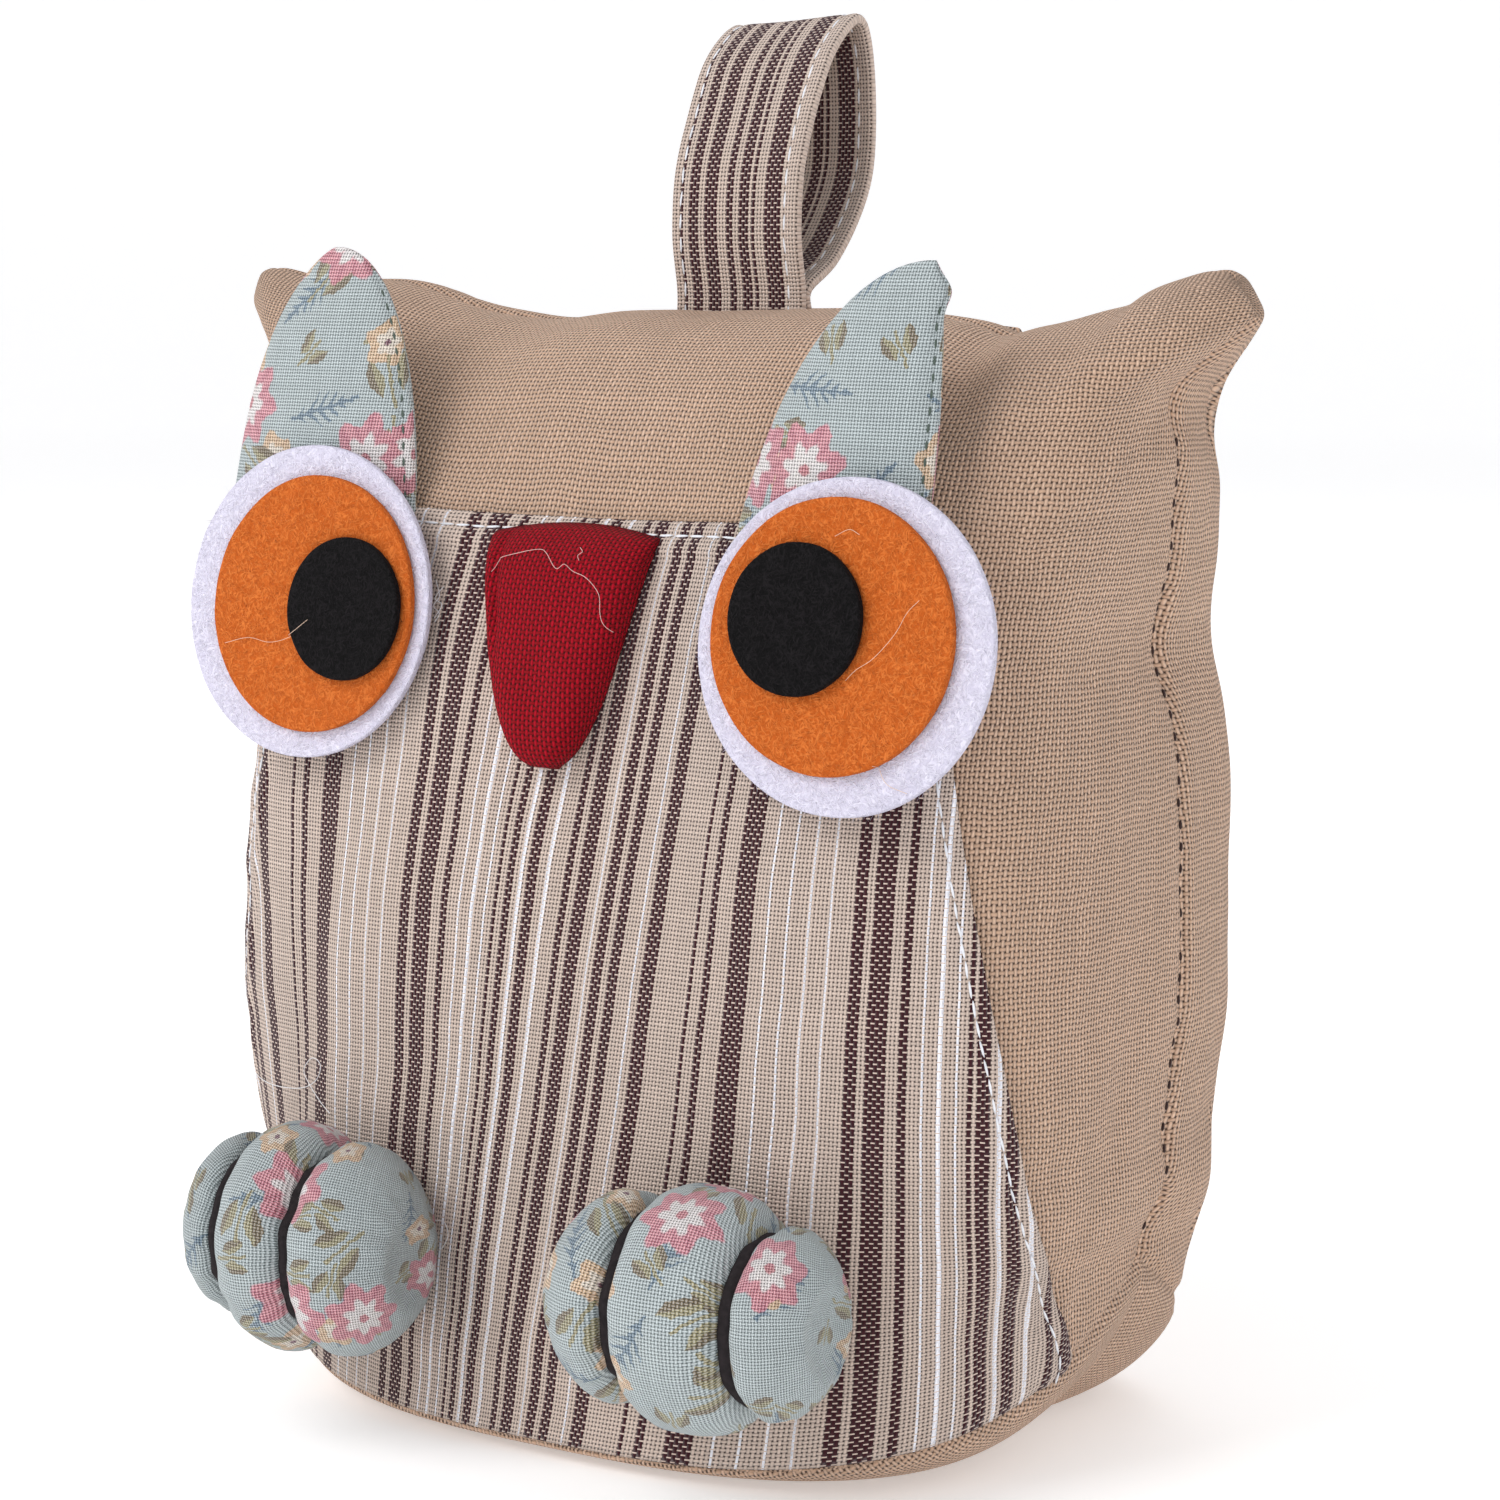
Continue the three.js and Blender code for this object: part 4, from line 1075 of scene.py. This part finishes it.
def ear_tuft(name, tuft):
    """A tuft, and the seam that runs down just inside its right edge as seen from the front."""
    x, y, z, thickness, dent, column = tuft_form(tuft)
    crease = 0.0006 * ripple(in_plane(x, z), 0.012, 11) * np.sqrt(thickness / TUFT_THICKNESS[1])
    clear = fronts(BODY_SKIN, x, z) - TUFT_GAP
    back = np.minimum(y + thickness / 2, clear)
    front = np.minimum(y - thickness / 2 - crease + dent, back - 0.0002 * (thickness > 0))
    edge = np.minimum(y, clear)
    still = thickness < 1e-6
    sheets = []
    for depth, flipped, shift in ((front, False, 0.0), (back, True, 0.3)):
        rows = np.stack([x, np.where(still, edge, depth), z], axis=-1)
        middle = x[:, x.shape[1] // 2, None]
        sheets.append((rows, np.stack([lengths_across(rows) + middle + shift, z], axis=-1), flipped))
    piece, _ = sewn(name + "_cloth", sheets)
    piece.data.materials.append(PRINTED_COTTON)
    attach(piece, "root")
    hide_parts(name)
    line = np.stack([x, front - 0.0001, z], axis=-1)[4:, column]
    line = line[line[:, 2] < tuft["tip"] - TUFT_SEAM["short"]]
    sew(name + "_seam", [line], SEAM_THREAD, 0.0026, 0.0015, 0.00042)


for name, tuft in TUFTS.items():
    ear_tuft(f"ear_tuft_{name}", tuft)

# Each eye is three felt discs, white, orange and black, cut with scissors and glued one on another.
# The white discs stand on the front over the tufts' feet and lean with the face.
FELT_THICKNESS = 0.0014
FELT_EDGE = 0.0004
EYE_TURN_OUT = math.radians(1.6)
EYE_TILT_UP = math.radians(7.6)
FIBRE_TURNS = (0.3, 1.3, 2.4)
FIBRE_SIZE = (0.00028, 0.00028, 0.0022)


def felt(name, shade, dark, light):
    """Pressed wool: fine matted fibres, some darker and some lighter."""
    finish = Finish(name, 0.97, 0.0)
    place = finish.place()
    stray = finish.grain(place, 500.0, output="Color")
    bent = finish.vector("ADD", [place, finish.vector("SCALE", {0: stray, "Scale": 0.0016})])
    fibres = 0.0
    for turn in FIBRE_TURNS:
        values = {"Vector": bent, "Rotation": (0.0, turn, 0.0), "Scale": FIBRE_SIZE}
        along = finish.node("ShaderNodeMapping", {"vector_type": "TEXTURE"}, values)
        strand = finish.grain(along, 1.0, 1.0)
        fibres = strand.maths("MAXIMUM", strand, fibres)
    clump = finish.grain(place, 260.0, 3.0)
    tone = finish.mix(finish.rise(fibres, 0.5, 0.72), dark, light)
    tone = finish.mix(0.3, tone, shade)
    tone = finish.mix(finish.rise(clump, 0.5, 0.75) * 0.25, tone, dark)
    return finish.wear(tone, fibres * 3 + clump * 0.5, 0.0002)


# Each layer's radius, its felt's name, and the felt's shade with its darker and lighter fibres.
EYE_LAYERS = {
    "white": (0.026, "white_felt", colour(224, 220, 238), colour(206, 202, 222), colour(232, 229, 244)),
    "iris": (0.02135, "orange_felt", colour(206, 104, 44), colour(182, 84, 28), colour(222, 124, 60)),
    "pupil": (0.0118, "black_felt", colour(16, 14, 16), colour(8, 7, 8), colour(36, 33, 35)),
}
FELTS = {layer: felt(*made) for layer, (_, *made) in EYE_LAYERS.items()}


def fuzz_tree():
    """Fine fibres that stand off a surface at random, each a slim tapered hair."""
    tree, given = new_tree("fuzz", {
        "Density": "Float", "Length": "Float", "Seed": "Int", "Material": "Material",
    })
    values = {"Mesh": given["Geometry"], 4: given["Density"], "Seed": given["Seed"]}
    spots = add_node(tree, "GeometryNodeDistributePointsOnFaces", {}, values)
    values = {"Vertices": 3, "Side Segments": 1, "Radius Top": 0.01, "Radius Bottom": 0.03, "Depth": 1.0}
    hair = add_node(tree, "GeometryNodeMeshCone", {}, values)
    size = add_node(tree, "FunctionNodeRandomValue", {"data_type": "FLOAT"}, {2: 0.4, 3: 1.0, 8: 5})
    length = add_node(tree, "ShaderNodeMath", {"operation": "MULTIPLY"}, [size.outputs[1], given["Length"]])
    most = (1.4, 1.4, 3.0)
    least = tuple(-turn for turn in most)
    hairs = strew(tree, spots, spots.outputs["Rotation"], least, most, 3, hair, length)
    both = add_node(tree, "GeometryNodeJoinGeometry", {}, [hairs])
    tree.links.new(given["Geometry"], both.inputs[0])
    return end_tree(tree, both, given["Material"])


FUZZ = fuzz_tree()


def disc_sheets(radius, seed):
    """The front, the cut edge and the back of a felt disc about its middle, facing +Z."""
    turn = np.linspace(0, 2 * np.pi, 145)
    cut = [noise.noise(Vector((math.cos(angle) * 2.2, math.sin(angle) * 2.2, seed))) for angle in turn]
    uneven = 1 + 0.006 * np.array(cut)
    half = FELT_THICKNESS / 2
    arc = np.linspace(0, np.pi / 2, 5)
    out = np.r_[np.linspace(0, radius - FELT_EDGE, 18)[:-1], radius - FELT_EDGE + FELT_EDGE * np.sin(arc)]
    up = np.r_[np.full(17, half), half - FELT_EDGE + FELT_EDGE * np.cos(arc)]
    out, up = np.r_[out, out[::-1]], np.r_[up, -up[::-1]]
    rows = np.zeros((len(out), len(turn), 3))
    rows[:, :, 0] = out[:, None] * np.cos(turn) * uneven
    rows[:, :, 1] = out[:, None] * np.sin(turn) * uneven
    rows[:, :, 2] = up[:, None] + 0.00012 * ripple(in_plane(rows[:, :, 0], rows[:, :, 1]), 0.004, seed)
    return rows[::-1]


def middle_of(node):
    low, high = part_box(node)
    return (np.array(low) + np.array(high)) / 2


def axes_towards(azimuth, elevation):
    """The right, upward and outward ways of a thing that faces outward, with azimuth 0 at the front."""
    flat = math.cos(elevation)
    out = Vector((math.sin(azimuth) * flat, -math.cos(azimuth) * flat, math.sin(elevation)))
    right = Vector((math.cos(azimuth), math.sin(azimuth), 0))
    return right, out.cross(right), out


def eye_disc(node, layer, side, seed):
    axes = np.array(axes_towards(side * EYE_TURN_OUT, EYE_TILT_UP))
    rows = disc_sheets(EYE_LAYERS[layer][0], seed) @ axes + middle_of(node)
    piece, _ = sewn(node + "_felt", [(rows, rows[:, :, :2], False)])
    grow(piece, FUZZ, Density=450000.0, Length=0.0012, Seed=seed, Material=FELTS[layer])
    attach(piece, "root")
    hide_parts(node)


for place, (name, side) in enumerate((("left", -1), ("right", 1))):
    for step, layer in enumerate(EYE_LAYERS):
        eye_disc(f"eye_{layer}_{name}", layer, side, 20 + 3 * place + step)

# The beak is a small stuffed shield of coarse dark red cloth, with its edges turned in.
# It is sewn to the face between the eyes, and its left edge is folded under.
BEAK = {
    "middle": -0.0012, "half": 0.0162, "top": 0.150, "height": 0.037, "crown": 0.0018, "fill": 0.006,
    "hem": 0.0007, "sunk": 0.0018,
}
# The left edge is folded under, and the fold shows as a furrow beside it.
BEAK_FURROW = {"depth": 0.0012, "place": -0.74, "reach": 0.07}
BEAK_THREADS = (0.0008, 0.0008)


def red_cloth():
    finish = Finish("red_cloth", 0.85, 0.0)
    over, woven = weave(finish, *threads(finish, BEAK_THREADS))
    shade = finish.mix(over, colour(134, 3, 22), colour(166, 5, 34))
    # The holes between the threads are dark with painted shade.
    return finish.wear_weave(shade, woven, 0.85, colour(56, 1, 9), 0.0003)


def beak():
    u = np.sin(np.linspace(-1, 1, 49) * np.pi / 2)[None, :]
    v = np.linspace(0.0, 1, 57)[:, None]
    x = BEAK["middle"] + u * BEAK["half"] * np.maximum(v, 0.012) ** 0.45
    z = BEAK["top"] - BEAK["height"] * (1 - v) + BEAK["crown"] * v * v * (1 - u * u)
    full = np.maximum((1 - np.abs(u) ** 4) * (1 - np.abs(2 * v - 1) ** 4.5), 0) ** 0.42
    furrow = hump(u - BEAK_FURROW["place"], BEAK_FURROW["reach"]) * smooth(v, 0.3, 0.7)
    dent = 0.0005 * ripple(in_plane(x, z), 0.009, 31) * full - BEAK_FURROW["depth"] * furrow
    ground = fronts(BODY_SKIN, x, z) - BEAK["sunk"]
    rim = (full <= 0) * 1.0
    sheets = []
    for depth, flipped, shift in (
        (-BEAK["hem"] - BEAK["fill"] * full - dent, False, 0.0),
        (0 * full, True, 0.2),
    ):
        y = ground + blend(depth, -BEAK["hem"] / 2, rim)
        rows = np.stack([x, y, z], axis=-1)
        high = lengths_along(rows[:, x.shape[1] // 2])[:, None] + z - z[:, x.shape[1] // 2, None]
        sheets.append((rows, np.stack([lengths_across(rows) + shift, high], axis=-1), flipped))
    piece, _ = sewn("beak_cloth", sheets)
    piece.data.materials.append(red_cloth())
    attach(piece, "root")
    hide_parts("beak")


beak()

# The feet are two stuffed puffs of printed cotton, gathered at both ends and sewn to the front.
# Two bands of black yarn round each one pull it into three toes.
FEET = {
    "left": {"half": 0.0220, "lean": -0.05, "bands": {"outer": -0.0105, "inner": 0.0047}},
    "right": {"half": 0.0255, "lean": 0.0, "bands": {"inner": -0.0085, "outer": 0.0126}},
}
FOOT_REACH = (0.017, 0.0193)
FOOT_POWER = 2.6
FOOT_DIMPLE = 0.10
# The yarn and the groove that it pulls: a flat floor and a round wall on both sides.
BAND = {
    "width": 0.0026, "thickness": 0.0016, "floor": 0.0009, "wall": 0.0078, "depth": 0.33, "proud": 0.0009,
    "gathers": 0.006, "sway": 0.0004,
}


def black_yarn():
    finish = Finish("black_yarn", 0.9, 0.0)
    place = finish.place()
    twist = finish.grain(place, 900.0, 3.0)
    return finish.wear(finish.mix(twist, colour(20, 18, 20), colour(56, 50, 52)), twist, 0.0002)


BLACK_YARN = black_yarn()


def foot_reach(foot, along, turn, seed):
    """How far a foot's cloth stands from its axis, as a share: full between the bands and gathered at them."""
    u = along / foot["half"]
    reach = np.sqrt(np.maximum(1 - np.abs(u) ** FOOT_POWER, 0))
    gathers = 2 * hump(np.abs(u) - 1, 0.16)
    for place in foot["bands"].values():
        # Each lobe rounds down to the band like a puff, and meets a narrow flat under it.
        up_wall = np.clip((np.abs(along - place) - BAND["floor"]) / BAND["wall"], 0, 1)
        reach = reach * (1 - BAND["depth"] * (1 - np.sqrt(1 - (1 - up_wall) ** 2.3)))
        gathers = gathers + hump(along - place, BAND["gathers"])
    spots = np.stack([np.cos(turn) * 3.2, np.sin(turn) * 3.2, along * 60], axis=-1)
    return np.maximum(reach * (1 + 0.06 * gathers * ripple(spots, 0.8, seed)), 0)


def cloth_from_front(right, out, up):
    """Places on cloth that is smoothed over a puff from its front; right, out and up run from -1 to 1."""
    flat = np.hypot(right, up)
    turn = np.arctan2(flat, out)
    share = FOOT_REACH[1] * turn / np.maximum(flat, 1e-9)
    return np.stack([right * share * 1.2, up * share], axis=-1)


def foot_steps(foot):
    """Places along a foot, crowded at its ends and at the walls of its grooves."""
    even = np.sin(np.linspace(-1, 1, 1201) * np.pi / 2) * foot["half"]
    crowd = 1.0
    for place in foot["bands"].values():
        crowd = crowd + 5 * hump(even - place, BAND["width"])
    total = np.cumsum(crowd)
    return np.interp(np.linspace(total[0], total[-1], 131), total, even)


def stuffed_foot(name, foot, seed):
    """A foot and its two bands."""
    turn = np.linspace(0, 2 * np.pi, 121)
    along, angle = np.meshgrid(foot_steps(foot), turn, indexing="ij")
    reach = foot_reach(foot, along, angle, seed)
    u = along / foot["half"]
    drawn_in = FOOT_DIMPLE * smooth(np.abs(u), 0.93, 1)
    middle = middle_of("foot_" + name)
    rows = np.stack([
        middle[0] + along * (1 - drawn_in),
        middle[1] - FOOT_REACH[0] * reach * np.cos(angle),
        middle[2] + FOOT_REACH[1] * reach * np.sin(angle) + foot["lean"] * along,
    ], axis=-1)
    even = np.sqrt(1 - np.abs(u) ** FOOT_POWER)
    cloth = cloth_from_front(u, even * np.cos(angle), even * np.sin(angle)) + [0.2 * seed, 0]
    piece, _ = sewn(f"foot_{name}_cloth", [(rows, cloth, False)])
    piece.data.materials.append(PRINTED_COTTON)
    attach(piece, "root")
    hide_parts("foot_" + name)
    for label, place in foot["bands"].items():
        toe_band(f"toe_band_{name}_{label}", foot, place, middle, seed)


def toe_band(node, foot, place, middle, seed):
    """A flat loop of yarn in the groove that it pulls into the foot."""
    turn = np.linspace(0, 2 * np.pi, 121)
    ring = np.linspace(0, 2 * np.pi, 13)
    angle, round_it = np.meshgrid(turn, ring, indexing="ij")
    reach = foot_reach(foot, np.full_like(angle, place), angle, seed)
    sway = BAND["sway"] * ripple(in_plane(np.cos(angle), np.sin(angle)), 0.5, seed + 4)
    out = BAND["thickness"] / 2 * np.sin(round_it) + BAND["proud"]
    rows = np.stack([
        middle[0] + place + BAND["width"] / 2 * np.cos(round_it) + sway,
        middle[1] - (FOOT_REACH[0] * reach + out) * np.cos(angle),
        middle[2] + (FOOT_REACH[1] * reach + out) * np.sin(angle) + foot["lean"] * place,
    ], axis=-1)
    piece, _ = sewn(node + "_yarn", [(rows, rows[:, :, :2], False)])
    piece.data.materials.append(BLACK_YARN)
    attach(piece, "root")
    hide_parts(node)


for seed, (name, foot) in enumerate(FEET.items(), start=41):
    stuffed_foot(name, foot, seed)

# Loose threads lie on the cloth: a long hair across the beak, wool hairs on the felt discs, and white thread
# ends on the panel. Each is a list of places across and up, in millimetres, laid on what is in front there.
HAIR_LIFT = 0.0005
BEAK_HAIRS = (
    ((-13.0, 143.9), (-11.6, 146.0), (-8.4, 147.0), (-4.0, 147.9), (-2.0, 147.4), (0.8, 145.2), (2.1, 145.9),
     (4.0, 144.9), (6.8, 143.9), (9.3, 141.6), (9.9, 138.6), (10.4, 137.0), (11.4, 135.6)),
    ((3.7, 148.5), (4.5, 147.9), (4.0, 147.3), (4.5, 146.6)),
)
EYE_HAIRS = (
    ((67.4, 143.6), (65.5, 141.6), (63.7, 138.4), (60.3, 134.6), (57.5, 132.7), (55.8, 131.0)),
    ((-67.2, 129.4), (-62.1, 130.6), (-57.4, 130.1), (-52.7, 131.4), (-48.0, 134.5)),
    ((61.5, 118.5), (63.2, 115.8), (66.8, 114.6)),
    ((52.0, 152.5), (54.4, 153.6), (56.3, 152.9)),
)
THREAD_ENDS = (
    ((-26.7, 36.6), (-25.0, 39.0), (-24.4, 36.8), (-25.4, 34.7), (-23.6, 34.1), (-22.6, 36.2), (-20.4, 36.6),
     (-19.4, 34.4), (-21.0, 31.8), (-22.9, 32.3), (-22.4, 34.2)),
    ((-72.5, 52.4), (-64.3, 52.5), (-55.6, 53.6), (-50.2, 56.0), (-48.8, 58.9), (-51.8, 59.5), (-54.2, 56.5),
     (-49.2, 53.0), (-46.1, 51.1)),
    ((-27.6, 141.5), (-26.4, 139.0), (-27.3, 137.4), (-25.9, 136.2), (-26.6, 134.8)),
    ((-25.8, 140.6), (-27.2, 138.6), (-25.6, 137.6), (-26.8, 135.4)),
)


def loose(name, carriers, routes, shade, thread):
    """Thin threads that lie on whichever of a few pieces is in front at each of their places."""
    skins = [skin_of(bpy.data.objects[carrier]) for carrier in carriers]
    lines = []
    for route in routes:
        x, z = smooth_line(route, 8).T / 1000
        y = np.min([fronts(skin, x, z) for skin in skins], axis=0) - HAIR_LIFT
        lines.append(np.stack([x, y, z], axis=-1))
    piece = lines_of(name, lines)
    grow(piece, THREADS, Thread=thread, Material=thread_finish(name, shade))
    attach(piece, "root")


eyes = [f"eye_{layer}_{name}_felt" for layer in EYE_LAYERS for name in ("left", "right")]
loose("beak_hairs", ["beak_cloth"], BEAK_HAIRS, colour(220, 180, 174), 0.00005)
loose("eye_hairs", eyes, EYE_HAIRS, colour(232, 200, 176), 0.00004)
loose("thread_ends", ["belly_panel_cloth"], THREAD_ENDS, colour(232, 230, 232), 0.00007)

# The set is a pale floor that sweeps up behind, soft light from the camera's left, and a camera that stands
# where the photograph was taken from.
CAMERA_AZIMUTH = math.radians(33.07)
CAMERA_ELEVATION = math.radians(7.49)
CAMERA_ROLL = math.radians(0.18)
CAMERA_DISTANCE = 0.66913
CAMERA_LENS = 94.0
AIM_HEIGHT = 0.122
AIM_SHIFT = (0.00231, -0.01161)
LIT_HEIGHT = 0.1
FLOOR_RADIUS = 3.5
SWEEP_RADIUS = 1.6


def set_camera():
    right, up, back = axes_towards(CAMERA_AZIMUTH, CAMERA_ELEVATION)
    eye = Vector((0, 0, AIM_HEIGHT)) + right * AIM_SHIFT[0] + up * AIM_SHIFT[1] + back * CAMERA_DISTANCE
    turn = Matrix((right, up, back)).transposed() @ Matrix.Rotation(CAMERA_ROLL, 3, "Z")
    camera = placed("camera", bpy.data.cameras.new("camera"))
    camera.data.lens = CAMERA_LENS
    camera.matrix_world = Matrix.Translation(eye) @ turn.to_4x4()
    bpy.context.scene.camera = camera


def set_light(name, azimuth, elevation, distance, size, power):
    out = axes_towards(math.radians(azimuth), math.radians(elevation))[2]
    light = placed(name, bpy.data.lights.new(name, "AREA"))
    light.data.size = size
    light.data.energy = power
    light.location = Vector((0, 0, LIT_HEIGHT)) + out * distance
    light.rotation_euler = out.to_track_quat("Z", "Y").to_euler()


def set_floor():
    """A round floor that sweeps up into a low wall all round, so that no horizon shows."""
    turn = np.linspace(0, 2 * np.pi, 97)
    bend = np.linspace(0, np.pi / 2, 13)
    out = np.r_[0, 0.5, 1, 2, FLOOR_RADIUS + SWEEP_RADIUS * np.sin(bend)]
    up = np.r_[0, 0, 0, 0, SWEEP_RADIUS * (1 - np.cos(bend))]
    rows = np.stack([
        out[:, None] * np.cos(turn), out[:, None] * np.sin(turn), up[:, None] + 0 * turn,
    ], axis=-1)
    floor, _ = sewn("floor", [(rows, rows[:, :, :2], True)])
    finish = Finish("pale_floor", 0.9, 0.0)
    finish.hold({
        "Base Color": (0.92, 0.92, 0.92, 1), "Emission Color": (1, 1, 1, 1), "Emission Strength": 0.33,
    })
    floor.data.materials.append(finish.material)


def set_air():
    world = bpy.data.worlds.new("air")
    world.use_nodes = True
    background = world.node_tree.nodes["Background"]
    background.inputs["Color"].default_value = (0.98, 0.98, 1.0, 1)
    background.inputs["Strength"].default_value = 0.62
    bpy.context.scene.world = world
    bpy.context.scene.view_settings.view_transform = "Standard"


set_camera()
set_light("key", azimuth=-30, elevation=40, distance=1.6, size=0.9, power=11.5)
set_light("fill", azimuth=85, elevation=30, distance=1.8, size=1.4, power=2.6)
set_light("back", azimuth=200, elevation=50, distance=1.8, size=1.2, power=5)
set_floor()
set_air()
